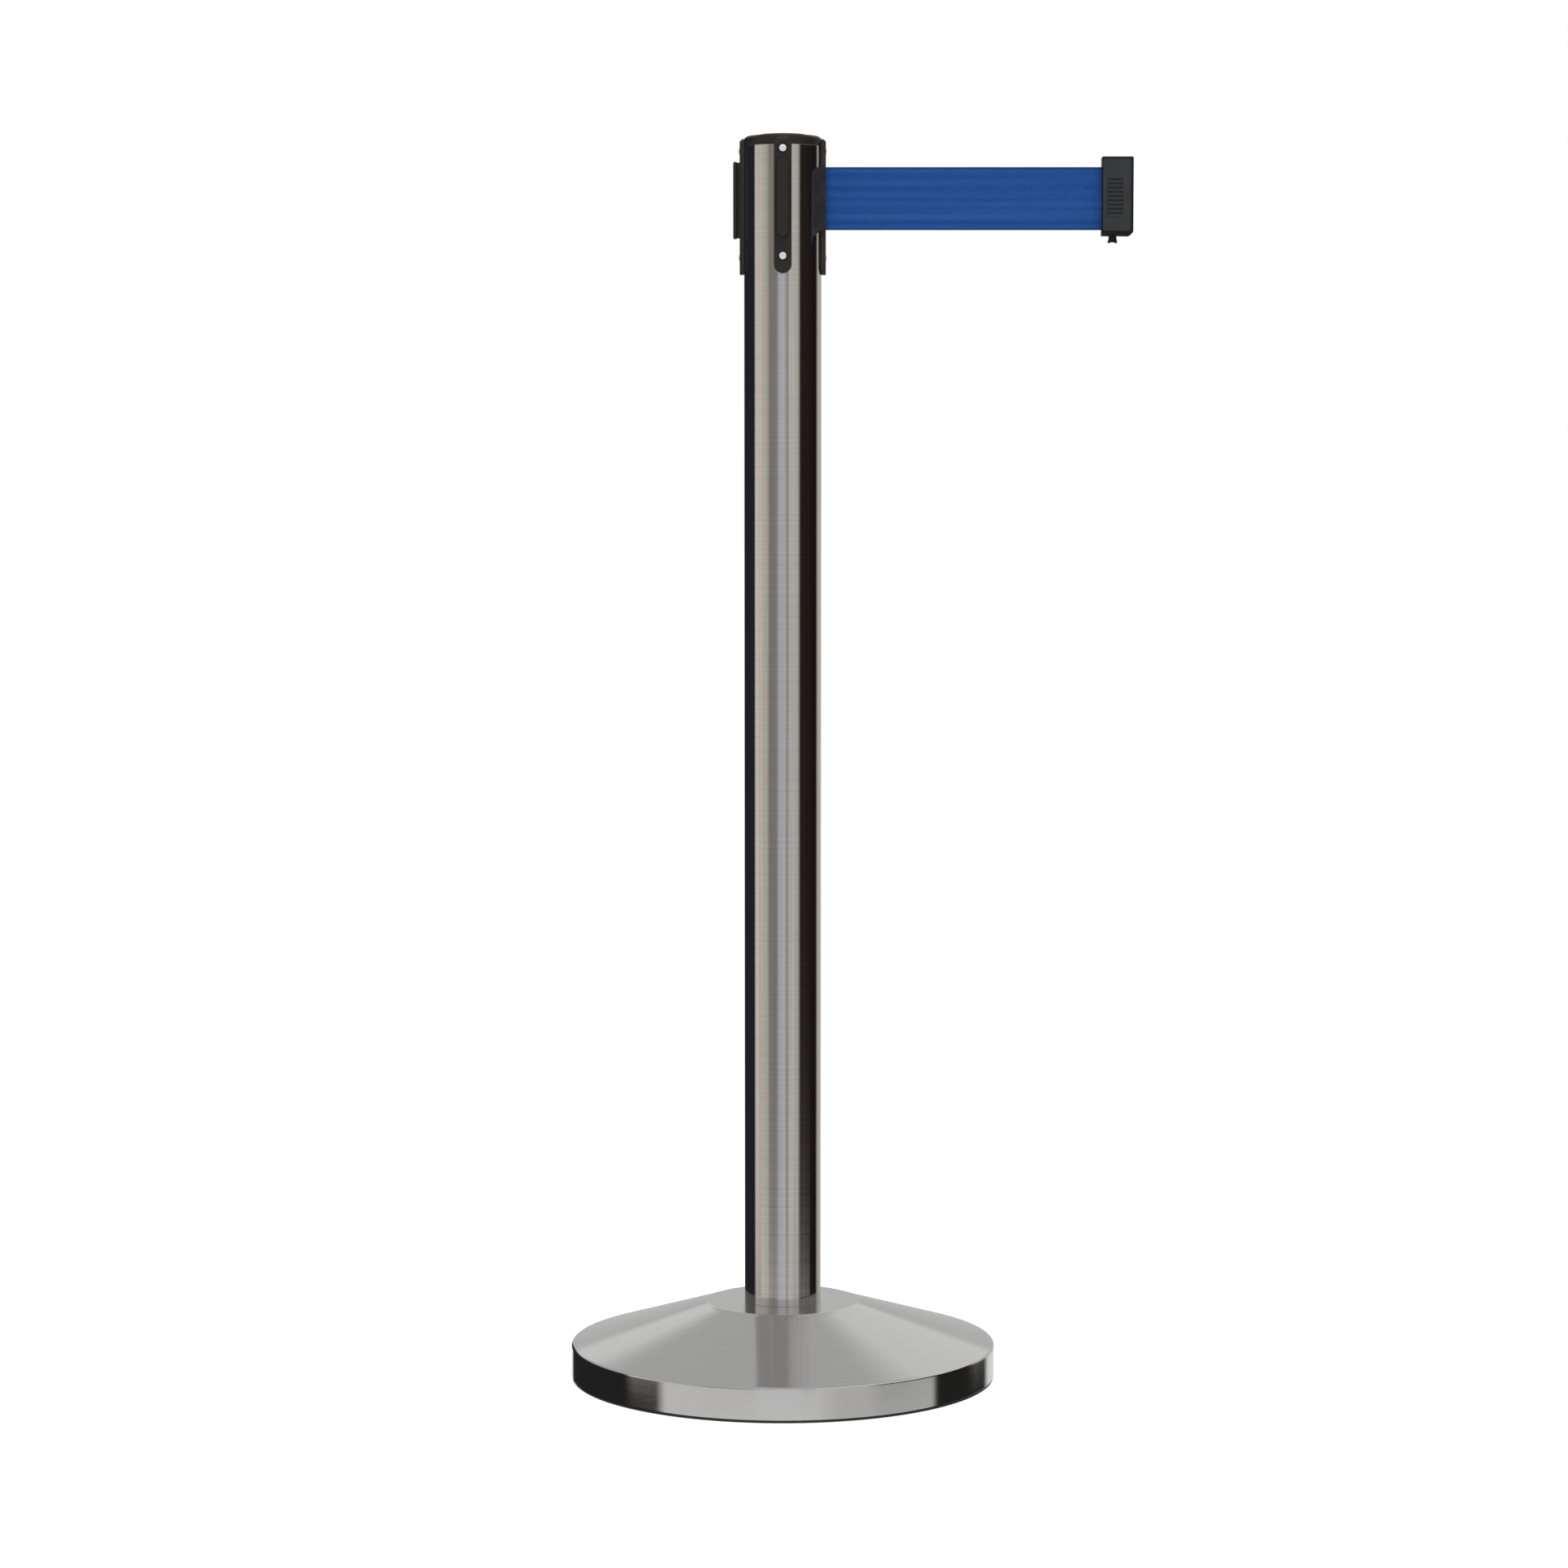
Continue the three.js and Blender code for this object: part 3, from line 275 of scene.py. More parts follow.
def prism(name, outline, low, high, axis):
    """A flat outline pushed along X (outline in y, z), Y (in x, z) or Z (in x, y)."""
    place = {"X": lambda u, v, w: (w, u, v),
             "Y": lambda u, v, w: (u, w, v),
             "Z": lambda u, v, w: (u, v, w)}[axis]
    bm = bmesh.new()
    ends = [[bm.verts.new(place(u, v, w)) for u, v in outline] for w in (low, high)]
    bm.faces.new(ends[0])
    bm.faces.new(list(reversed(ends[1])))
    count = len(outline)
    for k in range(count):
        n = (k + 1) % count
        bm.faces.new((ends[0][k], ends[1][k], ends[1][n], ends[0][n]))
    return new_object(name, bm)


def block(name, xs, ys, zs):
    """A box from its lowest and highest x, y and z."""
    corners = [(xs[0], ys[0]), (xs[1], ys[0]), (xs[1], ys[1]), (xs[0], ys[1])]
    return prism(name, corners, zs[0], zs[1], "Z")


def rod(name, radius, low, high, axis, at, segments=32):
    """A cylinder along an axis; at is its middle across that axis."""
    circle = [(at[0] + radius * math.cos(TAU * k / segments),
               at[1] + radius * math.sin(TAU * k / segments)) for k in range(segments)]
    return prism(name, circle, low, high, axis)


def loft(name, rings):
    """Skins equal rings of 3-D points and closes both ends."""
    bm = bmesh.new()
    rows = [[bm.verts.new(point) for point in ring] for ring in rings]
    for low, high in zip(rows, rows[1:]):
        for k in range(len(low)):
            n = (k + 1) % len(low)
            bm.faces.new((low[k], low[n], high[n], high[k]))
    bm.faces.new(rows[0])
    bm.faces.new(list(reversed(rows[-1])))
    return new_object(name, bm)


def bake(obj):
    """Applies the object's modifiers to its mesh."""
    depsgraph = bpy.context.evaluated_depsgraph_get()
    mesh = bpy.data.meshes.new_from_object(
        obj.evaluated_get(depsgraph), preserve_all_data_layers=True, depsgraph=depsgraph)
    obj.modifiers.clear()
    obj.data = mesh
    return obj


def combine(obj, operation, *others):
    """Booleans the other objects into this one and removes them."""
    for other in others:
        step = obj.modifiers.new("combine", "BOOLEAN")
        step.operation = operation
        step.solver = "EXACT"
        step.object = other
        bake(obj)
        bpy.data.objects.remove(other)
    return obj


def cut(obj, *others):
    return combine(obj, "DIFFERENCE", *others)


def join(obj, *others):
    return combine(obj, "UNION", *others)


def bevel(obj, width, segments=3, angle=35):
    """Rounds every edge that is sharper than the angle, in degrees."""
    step = obj.modifiers.new("bevel", "BEVEL")
    step.width = width
    step.segments = segments
    step.limit_method = "ANGLE"
    step.angle_limit = math.radians(angle)
    return bake(obj)


def smooth(obj, angle=38):
    """Shades the object smooth up to the angle, in degrees, with its flat faces kept flat."""
    obj.data.shade_smooth()
    obj.data.set_sharp_from_angle(angle=math.radians(angle))
    step = obj.modifiers.new("normals", "WEIGHTED_NORMAL")
    step.keep_sharp = True
    step.weight = 80
    return bake(obj)


def move(obj, matrix):
    obj.data.transform(matrix)
    return obj


def about_z(degrees):
    return Matrix.Rotation(math.radians(degrees), 4, "Z")


def hand_in(obj, slot, body, *nodes, look=None):
    """Gives a finished piece its material and its body, and hides the CAD nodes that it stands for.

    A piece that blends between two bodies has no body of its own.
    """
    obj.data.materials.clear()
    obj.data.materials.append(look or looks[slot])
    if body:
        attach(obj, body)
    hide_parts(*nodes)
    return obj


# ---- Materials ----

class Nodes:
    """A node tree being built."""

    def __init__(self, tree):
        self.tree = tree

    def node(self, kind, inputs=None, **settings):
        node = self.tree.nodes.new(kind)
        for key, value in settings.items():
            setattr(node, key, value)
        for socket, value in (inputs or {}).items():
            if isinstance(value, bpy.types.NodeSocket):
                self.tree.links.new(value, node.inputs[socket])
            else:
                node.inputs[socket].default_value = value
        return node

    def math(self, operation, a, b=0.0, c=0.0):
        return self.node("ShaderNodeMath", {0: a, 1: b, 2: c}, operation=operation).outputs[0]

    def span(self, value, low, high, start=0.3, stop=0.7):
        """Maps the values between start and stop to a range."""
        return self.node("ShaderNodeMapRange", {
            "Value": value, "From Min": start, "From Max": stop,
            "To Min": low, "To Max": high}).outputs[0]

    def mix(self, factor, first, second):
        """Two colours, each a socket or three numbers."""
        first, second = (c if isinstance(c, bpy.types.NodeSocket) else (*c, 1)
                         for c in (first, second))
        return self.node("ShaderNodeMix", {0: factor, 6: first, 7: second},
                         data_type="RGBA").outputs[2]


class Shader(Nodes):
    """A material being built: one Principled shader and what feeds it."""

    def __init__(self, name, color, roughness, metallic=0.0, **constants):
        self.material = bpy.data.materials.new(name)
        self.material.use_nodes = True
        super().__init__(self.material.node_tree)
        self.bsdf = self.tree.nodes["Principled BSDF"]
        self.bsdf.inputs["Base Color"].default_value = (*color, 1)
        self.bsdf.inputs["Roughness"].default_value = roughness
        self.bsdf.inputs["Metallic"].default_value = metallic
        for socket, value in constants.items():
            self.bsdf.inputs[socket.replace("_", " ")].default_value = value

    def feed(self, socket, value):
        self.tree.links.new(value, self.bsdf.inputs[socket])

    def object_coords(self):
        return self.node("ShaderNodeTexCoord").outputs["Object"]

    def xyz(self):
        return self.node("ShaderNodeSeparateXYZ", {0: self.object_coords()}).outputs

    def stretched(self, scale):
        """Coordinates scaled by a different number along each axis."""
        return self.node("ShaderNodeMapping", {
            "Vector": self.object_coords(), "Scale": scale}).outputs[0]

    def noise(self, scale, coords=None, detail=4.0, rough=0.55):
        coords = coords or self.object_coords()
        return self.node("ShaderNodeTexNoise", {
            "Vector": coords, "Scale": scale, "Detail": detail, "Roughness": rough}).outputs[0]

    def shade(self, color, factor):
        """A colour socket times a number socket."""
        return self.node("ShaderNodeVectorMath", {0: color, "Scale": factor},
                         operation="SCALE").outputs[0]

    def bump(self, height, distance, strength):
        self.feed("Normal", self.node("ShaderNodeBump", {
            "Height": height, "Distance": distance, "Strength": strength}).outputs[0])


def brushed_tube():
    """Stainless tube brushed round its girth, with faint lines from the drawing along it."""
    s = Shader("brushed_tube", (0.62, 0.59, 0.555), 0.2, 1.0,
               Anisotropic=0.4, Anisotropic_Rotation=0.25)
    fine = s.noise(1.0, s.stretched((9, 9, 2600)), 4.0, 0.7)
    broad = s.noise(1.0, s.stretched((4, 4, 420)), 2.0)
    grain = s.math("ADD", s.math("MULTIPLY", fine, 0.7), s.math("MULTIPLY", broad, 0.3))
    s.feed("Roughness", s.span(grain, 0.08, 0.12))
    draw_lines = s.noise(1.0, s.stretched((420, 420, 2.2)), 3.0)
    steel = s.mix(s.span(grain, 0, 1), (0.55, 0.527, 0.503), (0.7, 0.672, 0.643))
    s.feed("Base Color", s.shade(steel, s.span(draw_lines, 0.84, 1.08)))
    s.bump(fine, 0.004 * MM, 0.3)
    tangent = s.node("ShaderNodeTangent", direction_type="RADIAL", axis="Z")
    s.feed("Tangent", tangent.outputs[0])
    return s.material


def spun_stainless():
    """Polished spun cover: faint turning marks in rings and a few soft smears."""
    s = Shader("spun_stainless", (0.64, 0.63, 0.62), 0.15, 1.0)
    x, y, z = s.xyz()
    radius = s.math("SQRT", s.math("ADD", s.math("MULTIPLY", x, x), s.math("MULTIPLY", y, y)))
    turned = s.node("ShaderNodeCombineXYZ", {
        0: s.math("MULTIPLY", s.math("ADD", radius, z), 2600),
        1: s.math("MULTIPLY", x, 9), 2: s.math("MULTIPLY", y, 9)}).outputs[0]
    rings = s.noise(1.0, turned, 3.0)
    smears = s.noise(14.0, None, 5.0, 0.6)
    flat_top = s.span(radius, 0.14, 0, CONE_TOP_R - 4.5 * MM, CONE_TOP_R - 1.5 * MM)
    polish = s.math("ADD", s.span(rings, 0.05, 0.08), s.span(smears, 0, 0.04))
    s.feed("Roughness", s.math("ADD", polish, flat_top))
    s.feed("Base Color", s.mix(s.span(rings, 0, 1), (0.62, 0.615, 0.61), (0.665, 0.66, 0.655)))
    s.bump(rings, 0.006 * MM, 0.3)
    return s.material


def moulded(name, color, lift, roughness, grain, gloss=0.5):
    """Moulded plastic with a fine grain, handling marks and slightly paler worn edges."""
    s = Shader(name, color, roughness, Specular_IOR_Level=gloss)
    pits = s.noise(1.0 / grain, None, 2.0)
    marks = s.noise(60.0, None, 5.0, 0.65)
    s.feed("Roughness", s.math("ADD", s.span(marks, roughness - 0.06, roughness + 0.07),
                               s.span(pits, -0.02, 0.02)))
    edges = s.node("ShaderNodeNewGeometry").outputs["Pointiness"]
    worn = s.math("MULTIPLY", s.span(edges, 0, 1, 0.52, 0.62), s.span(marks, 0.2, 1, 0.4, 0.7))
    s.feed("Base Color", s.mix(worn, color, lift))
    s.bump(pits, 0.03 * MM, 0.35)
    return s.material


def textured_clip():
    """Clip case: spark-textured matt face panels in a polished border of painted near-black shade.
    """
    s = Shader("clip_abs", (0.014, 0.014, 0.016), 0.5, Specular_IOR_Level=0.3)
    x, y, z = s.xyz()
    corner, blur, face = PANEL_CORNER_R, 0.15 * MM, CASE_HALF_Y
    reach = []
    for value, (low, high) in ((x, PANEL_X), (z, PANEL_Z)):
        middle, half = (low + high) / 2, (high - low) / 2
        off = s.math("ABSOLUTE", s.math("SUBTRACT", value, middle))
        reach.append(s.math("MAXIMUM", s.math("SUBTRACT", off, half - corner), 0.0))
    across, up = (s.math("MULTIPLY", r, r) for r in reach)
    distance = s.math("SQRT", s.math("ADD", across, up))
    on_face = s.span(s.math("ABSOLUTE", y), 0, 1, face - 1 * MM, face - 0.5 * MM)
    panel_vs_painted_shade = s.math("MULTIPLY", s.span(distance, 1, 0, corner - blur, corner + blur), on_face)
    pits = s.noise(1.0 / (0.28 * MM), None, 2.0)
    marks = s.noise(70.0, None, 5.0, 0.65)
    grey = s.mix(s.span(marks, 0, 1), (0.019, 0.0195, 0.023), (0.026, 0.0265, 0.03))
    # Outside the panels the colour is painted shade, darker than black plastic, along the border
    # and over the sides
    s.feed("Base Color", s.mix(panel_vs_painted_shade, (0.006, 0.006, 0.0065), grey))
    rough = s.math("MULTIPLY_ADD", panel_vs_painted_shade, 0.26, 0.3)
    s.feed("Roughness", s.math("ADD", rough, s.span(marks, -0.04, 0.05)))
    s.bump(s.math("MULTIPLY", pits, panel_vs_painted_shade), 0.04 * MM, 0.5)
    return s.material


def webbing_cloth():
    """Flat polyester webbing: cords along the belt, picks across, darker towards its top and bottom
    edges.
    """
    s = Shader("webbing_cloth", (0.012, 0.07, 0.25), 0.75, 0.0,
               Specular_IOR_Level=0.15, Sheen_Weight=0.05, Sheen_Roughness=0.45)
    s.bsdf.inputs["Sheen Tint"].default_value = (0.35, 0.5, 0.9, 1)
    x, _, z = s.xyz()
    cord_pitch, pick_pitch = 0.9 * MM, 0.62 * MM
    across = s.math("MULTIPLY", z, TAU / cord_pitch)
    along = s.math("MULTIPLY", x, TAU / pick_pitch)
    cords = s.math("ABSOLUTE", s.math("SINE", s.math("MULTIPLY", across, 0.5)))
    crossing = s.math("MULTIPLY", s.math("SINE", across), s.math("SINE", along))
    picks = s.math("MULTIPLY_ADD", crossing, 0.5, 0.5)
    height = s.math("ADD", s.math("MULTIPLY", cords, 0.6), s.math("MULTIPLY", picks, 0.4))
    threads = s.noise(1.0, s.stretched((70, 70, 900)), 3.0)
    drift = s.noise(1.0, s.stretched((2.5, 2.5, 190)), 2.0)
    stripes = s.math("COSINE", s.math("MULTIPLY_ADD", z, TAU / STRIPE_PITCH,
                                      -TAU * STRIPE_TOP_Z / STRIPE_PITCH))
    bands = s.math("MULTIPLY_ADD", stripes, 0.09, drift)
    fluff = s.noise(420.0, None, 5.0, 0.7)
    tone = s.math("ADD", s.math("MULTIPLY", height, 0.34),
                  s.math("ADD", s.math("MULTIPLY", threads, 0.3), s.math("MULTIPLY", bands, 0.5)))
    tone = s.math("ADD", tone, s.span(fluff, -0.07, 0.07))
    cloth = s.mix(s.span(tone, 0, 1, 0.38, 0.8), (0.0045, 0.0345, 0.158), (0.016, 0.0755, 0.262))
    # Darker towards the top and bottom edges, down to half at the very edge
    off_middle = s.math("ABSOLUTE", s.math("SUBTRACT", z, BELT_MID_Z))
    from_edge = s.math("SUBTRACT", BELT_W / 2, off_middle)
    edge_darkening = s.span(from_edge, 0.5, 1.0, 0.6 * MM, 2.4 * MM)
    s.feed("Base Color", s.shade(cloth, edge_darkening))
    s.feed("Roughness", s.span(threads, 0.62, 0.82))
    s.bump(height, 0.12 * MM, 0.7)
    return s.material


def rubber():
    """Black rubber with a little dust."""
    s = Shader("black_rubber", (0.012, 0.012, 0.012), 0.75)
    dust = s.noise(220.0, None, 5.0, 0.65)
    s.feed("Base Color", s.mix(s.span(dust, 0, 1), (0.008, 0.008, 0.008), (0.03, 0.029, 0.028)))
    s.feed("Roughness", s.span(dust, 0.65, 0.85))
    s.bump(dust, 0.05 * MM, 0.5)
    return s.material


def bright_steel(name, color, roughness, metallic=1.0):
    """Turned or plated steel with fine scratches."""
    s = Shader(name, color, roughness, metallic)
    scratches = s.noise(1.0, s.stretched((900, 4200, 900)), 4.0)
    tarnish = s.noise(300.0, None, 4.0)
    s.feed("Roughness", s.math("ADD", s.span(scratches, roughness - 0.06, roughness + 0.06),
                               s.span(tarnish, 0, 0.08)))
    dark = tuple(0.8 * c for c in color)
    s.feed("Base Color", s.mix(s.span(tarnish, 0, 1), dark, color))
    s.bump(scratches, 0.01 * MM, 0.3)
    return s.material


def cast_concrete():
    """Sandy concrete with small pores."""
    s = Shader("cast_concrete", (0.36, 0.34, 0.31), 0.9)
    sand = s.noise(700.0, None, 6.0, 0.7)
    pores = s.node("ShaderNodeTexVoronoi",
                   {"Vector": s.object_coords(), "Scale": 180.0}).outputs[0]
    s.feed("Base Color", s.mix(s.span(sand, 0, 1), (0.27, 0.255, 0.235), (0.43, 0.41, 0.38)))
    s.bump(s.math("ADD", sand, s.span(pores, 0, 0.6, 0.05, 0.25)), 0.5 * MM, 0.6)
    return s.material


looks = {
    "brushed_stainless": brushed_tube(),
    "plain_steel": bright_steel("bright_steel", (0.9, 0.89, 0.87), 0.3, 0.6),
    "spring_steel": bright_steel("oiled_spring_steel", (0.3, 0.29, 0.28), 0.34),
    "black_plastic": moulded("black_abs", (0.013, 0.0105, 0.008), (0.03, 0.027, 0.024), 0.42,
                             0.35 * MM, 0.3),
    "grey_plastic": textured_clip(),
    "white_plastic": moulded("white_acetal", (0.62, 0.6, 0.55), (0.7, 0.69, 0.66), 0.38, 0.5 * MM),
    "brass": bright_steel("turned_brass", (0.62, 0.44, 0.17), 0.25),
    "black_rubber": rubber(),
    "concrete": cast_concrete(),
    "blue_webbing": webbing_cloth(),
}
cover_look = spun_stainless()
# Clip foot and lever: black plastic, painted still darker as the shade under the clip
black_and_painted_shade_look = moulded("clip_black_abs_and_painted_shade", (0.003, 0.003, 0.003), (0.012, 0.012, 0.012), 0.45,
                    0.3 * MM, 0.2)


def dress_cad_nodes():
    """Gives every CAD node the procedural material of its slot."""
    slots = {part["node"]: part["material_slot"] for part in frame["record"]["subparts"]}
    for name, obj in frame["nodes"].items():
        obj.data.materials.clear()
        obj.data.materials.append(looks[slots[name]])


# ---- Base ----

def cone_z(radius, inset=0.0):
    """Height of the cone, or of the surface that lies inset below it."""
    lift = math.hypot(1, CONE_SLOPE)
    return CONE_TOP_Z - (radius - CONE_TOP_R) * CONE_SLOPE - inset * lift


def base_shell():
    """Spun cover: upright rim, straight cone and a flat top that the tube stands on."""
    foot, top = cover_lo[2], cover_hi[2]
    inner = RIM_R - SHEET
    outline = [
        (RIM_R, foot), (RIM_R, cone_z(RIM_R)), (CONE_TOP_R, cone_z(CONE_TOP_R)),
        (FLAT_TOP_R, top), (BOLT_HOLE_R, top), (BOLT_HOLE_R, top - SHEET),
        (FLAT_TOP_R, top - SHEET), (CONE_TOP_R, cone_z(CONE_TOP_R, SHEET)),
        (inner, cone_z(inner, SHEET)), (inner, foot),
    ]
    radii = [r * MM for r in (0.5, 2.2, 7, 3, 0, 0, 2, 6, 1.2, 0.4)]
    shell = lathe("base_shell", fillet(outline, radii, steps=7), WIDE_ROUND)
    hand_in(smooth(shell), "brushed_stainless", "post", "base_cover", look=cover_look)


def rubber_foot():
    """Flat ring with a bead that holds it inside the rim."""
    inner, outer, top = RING_INNER_R, ring_hi[0], RING_TOP_Z
    outline = [(inner, ring_lo[2]), (outer, ring_lo[2]), (outer, top), (BEAD_R[1], top),
               (BEAD_R[1], ring_hi[2]), (BEAD_R[0], ring_hi[2]), (BEAD_R[0], top), (inner, top)]
    radii = [r * MM for r in (0.3, 0.7, 0.5, 0.1, 0.5, 0.5, 0.1, 0.3)]
    foot = lathe("rubber_foot", fillet(outline, radii, steps=4), WIDE_ROUND)
    hand_in(smooth(foot), "black_rubber", "post", "floor_ring")


# ---- Post and cap ----

def post():
    """The tube with the belt's window; the strips hide its screw holes."""
    bore, top = POST_R - SHEET, tube_hi[2]
    outline = [(bore, POST_FOOT_Z), (POST_R, POST_FOOT_Z), (POST_R, top), (bore, top)]
    tube = lathe("brushed_post", fillet(outline, [0.2 * MM] * 4, steps=2))
    cut(tube, block("window", (20 * MM, 40 * MM), (-WINDOW_HALF_W, WINDOW_HALF_W), WINDOW_Z))
    hand_in(smooth(tube), "brushed_stainless", "post", "post_tube")


def cap():
    """Moulded cap: upright side, rounded shoulder and a flat disc raised in the middle."""
    foot, top = cap_lo[2], cap_hi[2]
    outline = [
        (0, CAP_RECESS_Z), (CAP_RECESS_R, CAP_RECESS_Z), (CAP_RECESS_R, foot), (POST_R, foot),
        (POST_R, top - 3.2 * MM), (POST_R - 2 * MM, top - 1.5 * MM),
        (CROWN_R + 0.8 * MM, top - 0.6 * MM), (CROWN_R, top),
    ]
    radii = [r * MM for r in (0, 0.4, 0.2, 0.3, 1.4, 2, 0.3, 0.4)] + [0] * CROWN_RINGS
    outline += [(CROWN_R * k / CROWN_RINGS, top) for k in reversed(range(CROWN_RINGS))]
    lid = lathe("head_cap", fillet(outline, radii, closed=False, steps=6), closed=False)
    hand_in(smooth(lid, 50), "black_plastic", "post", "top_cap")


# ---- Receivers and mouth, made on the +X side ----

def tube_space():
    """Cutter that leaves room for the tube."""
    return rod("tube_space", POST_R + GAP, *HEAD_SPAN_Z, "Z", (0, 0), ROUND)


def head_strip(name):
    """Stadium-ended strip that hugs the tube, with two screw recesses."""
    strip = prism(name, stadium(STRIP_W / 2, *STRIP_Z), STRIP_BACK_X, STRIP_FACE_X, "X")
    x, z, c = STRIP_FACE_X, STRIP_Z[1], STRIP_SHOULDER
    corner = [(x - 2 * c, z + c), (x + c, z - 2 * c), (x + c, z + c)]
    cut(strip, prism("shoulder", corner, -STRIP_W, STRIP_W, "Y"))
    bevel(strip, 0.7 * MM)
    cut(strip, tube_space())
    for z in SCREW_Z.values():
        well = rod("well", RECESS_R, SCREW_SEAT_X - GAP, 40 * MM, "X", (0, z))
        cut(strip, well, rod("hole", SHANK_HOLE_R, 20 * MM, 40 * MM, "X", (0, z), 24))
    return strip


def receiver(side):
    """Strip with the T-bar that another post's clip docks on."""
    strip = head_strip(f"receiver_{side}_fine")
    head = prism("tbar", stadium(TBAR_HEAD_W / 2, *TBAR_Z), *TBAR_HEAD_X, "X")
    bevel(head, 1.2 * MM, 5)
    neck_end = TBAR_HEAD_X[0] + 0.5 * MM
    low, high = TBAR_Z[0] + TBAR_NECK_SHORTER, TBAR_Z[1] - TBAR_NECK_SHORTER
    neck = prism("neck", stadium(TBAR_NECK_W / 2, low, high), STRIP_FACE_X - 1 * MM, neck_end, "X")
    join(strip, neck, head)
    move(smooth(strip), about_z(SIDES[side]))
    hand_in(strip, "black_plastic", "post", f"receiver_{side}")


def mouth():
    """The strip with the belt's slot and the wedge-sided guard round it."""
    strip = head_strip("mouth_fine")
    z0, z1 = GUARD_Z
    w, s, fall = GUARD_HALF_W, GUARD_SHOULDER, GUARD_FALL
    outline = [(-w, z0 - fall), (-s, z0), (s, z0), (w, z0 - fall),
               (w, z1 - fall), (s, z1), (-s, z1), (-w, z1 - fall)]
    radii = [r * MM for r in (1.5, 3, 3, 1.5, 2, 3, 3, 2)]
    guard = prism("guard", fillet(outline, radii, steps=4), 20 * MM, 40 * MM, "X")
    half = [(15 * MM, w + 5 * MM), (GUARD_EDGE_X - 2 * MM, w + 5 * MM), (GUARD_EDGE_X, w),
            (GUARD_FACE_X, STRIP_W / 2)]
    wedge = [(x, -y) for x, y in half] + half[::-1]
    combine(guard, "INTERSECT", prism("wedge", wedge, *HEAD_SPAN_Z, "Z"))
    bevel(guard, 0.9 * MM)
    cut(guard, tube_space())
    join(strip, guard)
    slot_half = BELT_W / 2 + SLOT_ROOM
    slot = stadium(SLOT_HALF_W, BELT_MID_Z - slot_half, BELT_MID_Z + slot_half, 8)
    cut(strip, prism("slot", slot, 20 * MM, 45 * MM, "X"))
    hand_in(smooth(strip), "black_plastic", "post", "belt_mouth")


def head_screw(name):
    """Domed screw along X with a cross recess."""
    rim = SCREW_SEAT_X + 0.5 * MM
    dome = [(SCREW_R * math.cos(a), rim + 1.2 * MM * math.sin(a))
            for a in (math.pi / 2 * k / 8 for k in range(9))]
    outline = [(0, SCREW_TIP_X), (SHANK_R, SCREW_TIP_X + 0.8 * MM), (SHANK_R, SCREW_SEAT_X),
               (SCREW_R, SCREW_SEAT_X)] + dome
    screw = lathe(name, outline, 40, closed=False)
    move(screw, Matrix.Rotation(math.pi / 2, 4, "Y"))
    long, thin = 1.5 * MM, 0.34 * MM
    deep = (rim + 0.35 * MM, 40 * MM)
    cut(screw, block("cross_a", deep, (-long, long), (-thin, thin)),
        block("cross_b", deep, (-thin, thin), (-long, long)))
    return smooth(screw, 30)


def screws():
    """The head's eight screws, each stopped at an angle of its own."""
    for side, degrees in SIDES.items():
        for level, z in SCREW_Z.items():
            screw = head_screw(f"screw_{side}_{level}_fine")
            stop = math.radians(17 + 31 * len(side) + 53 * len(level))
            spin = Matrix.Rotation(stop, 4, "X")
            move(screw, about_z(degrees) @ Matrix.Translation((0, 0, z)) @ spin)
            hand_in(screw, "plain_steel", "post", f"screw_{side}_{level}")


# ---- Belt ----

def belt_face(bm, side, first, last, steps_x, steps_z):
    """One face of the webbing as a grid, and the rows of its vertices."""
    grid = []
    for i in range(steps_x + 1):
        x = first + (last - first) * i / steps_x
        column = []
        for k in range(steps_z + 1):
            t = 2 * k / steps_z - 1
            full = min(1.0, (1 - abs(t)) / SELVEDGE_SHARE)
            half = BELT_T / 2 * (SELVEDGE_T + (1 - SELVEDGE_T) * full)
            column.append(bm.verts.new((x, side * half, BELT_MID_Z + BELT_W / 2 * t)))
        grid.append(column)
    for near, far in zip(grid, grid[1:]):
        for k in range(steps_z):
            bm.faces.new((near[k], far[k], far[k + 1], near[k + 1]))
    return grid


def belt():
    """The webbing between the mouth and the clip, thinner along its very edges."""
    bm = bmesh.new()
    steps_x, steps_z = 96, 24
    first, last = STRIP_FACE_X - BELT_LAP, shell_lo[0] + BELT_LAP
    front, back = (belt_face(bm, side, first, last, steps_x, steps_z) for side in (-1, 1))
    for i in range(steps_x):
        for k in (0, steps_z):
            bm.faces.new((front[i][k], front[i + 1][k], back[i + 1][k], back[i][k]))
    for k in range(steps_z):
        for i in (0, steps_x):
            bm.faces.new((front[i][k], front[i][k + 1], back[i][k + 1], back[i][k]))
    cloth = new_object("belt_cloth", bm)
    hand_in(smooth(cloth, 60), "blue_webbing", None, "belt_webbing")
    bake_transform(cloth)


def ribbon(name, path, thickness):
    """Closed strip of webbing, as wide as the belt, along a path of (x, y) points."""
    steps_z = 6
    heights = [BELT_MID_Z + BELT_W * (k / steps_z - 0.5) for k in range(steps_z + 1)]
    rings = []
    for i, point in enumerate(path):
        along = (path[min(i + 1, len(path) - 1)] - path[max(i - 1, 0)]).normalized()
        out = Vector((-along.y, along.x)) * thickness / 2
        left, right = point + out, point - out
        rings.append([(*left, z) for z in heights] + [(*right, z) for z in reversed(heights)])
    return smooth(loft(name, rings), 60)


def length_of(path):
    """Sum of the steps between its points."""
    return sum((b - a).length for a, b in zip(path, path[1:]))


def arc(centre, radius, start, stop, steps):
    """Points round a centre from one angle to another."""
    angles = (start + (stop - start) * k / steps for k in range(steps + 1))
    return [centre + radius * Vector((math.cos(a), math.sin(a))) for a in angles]


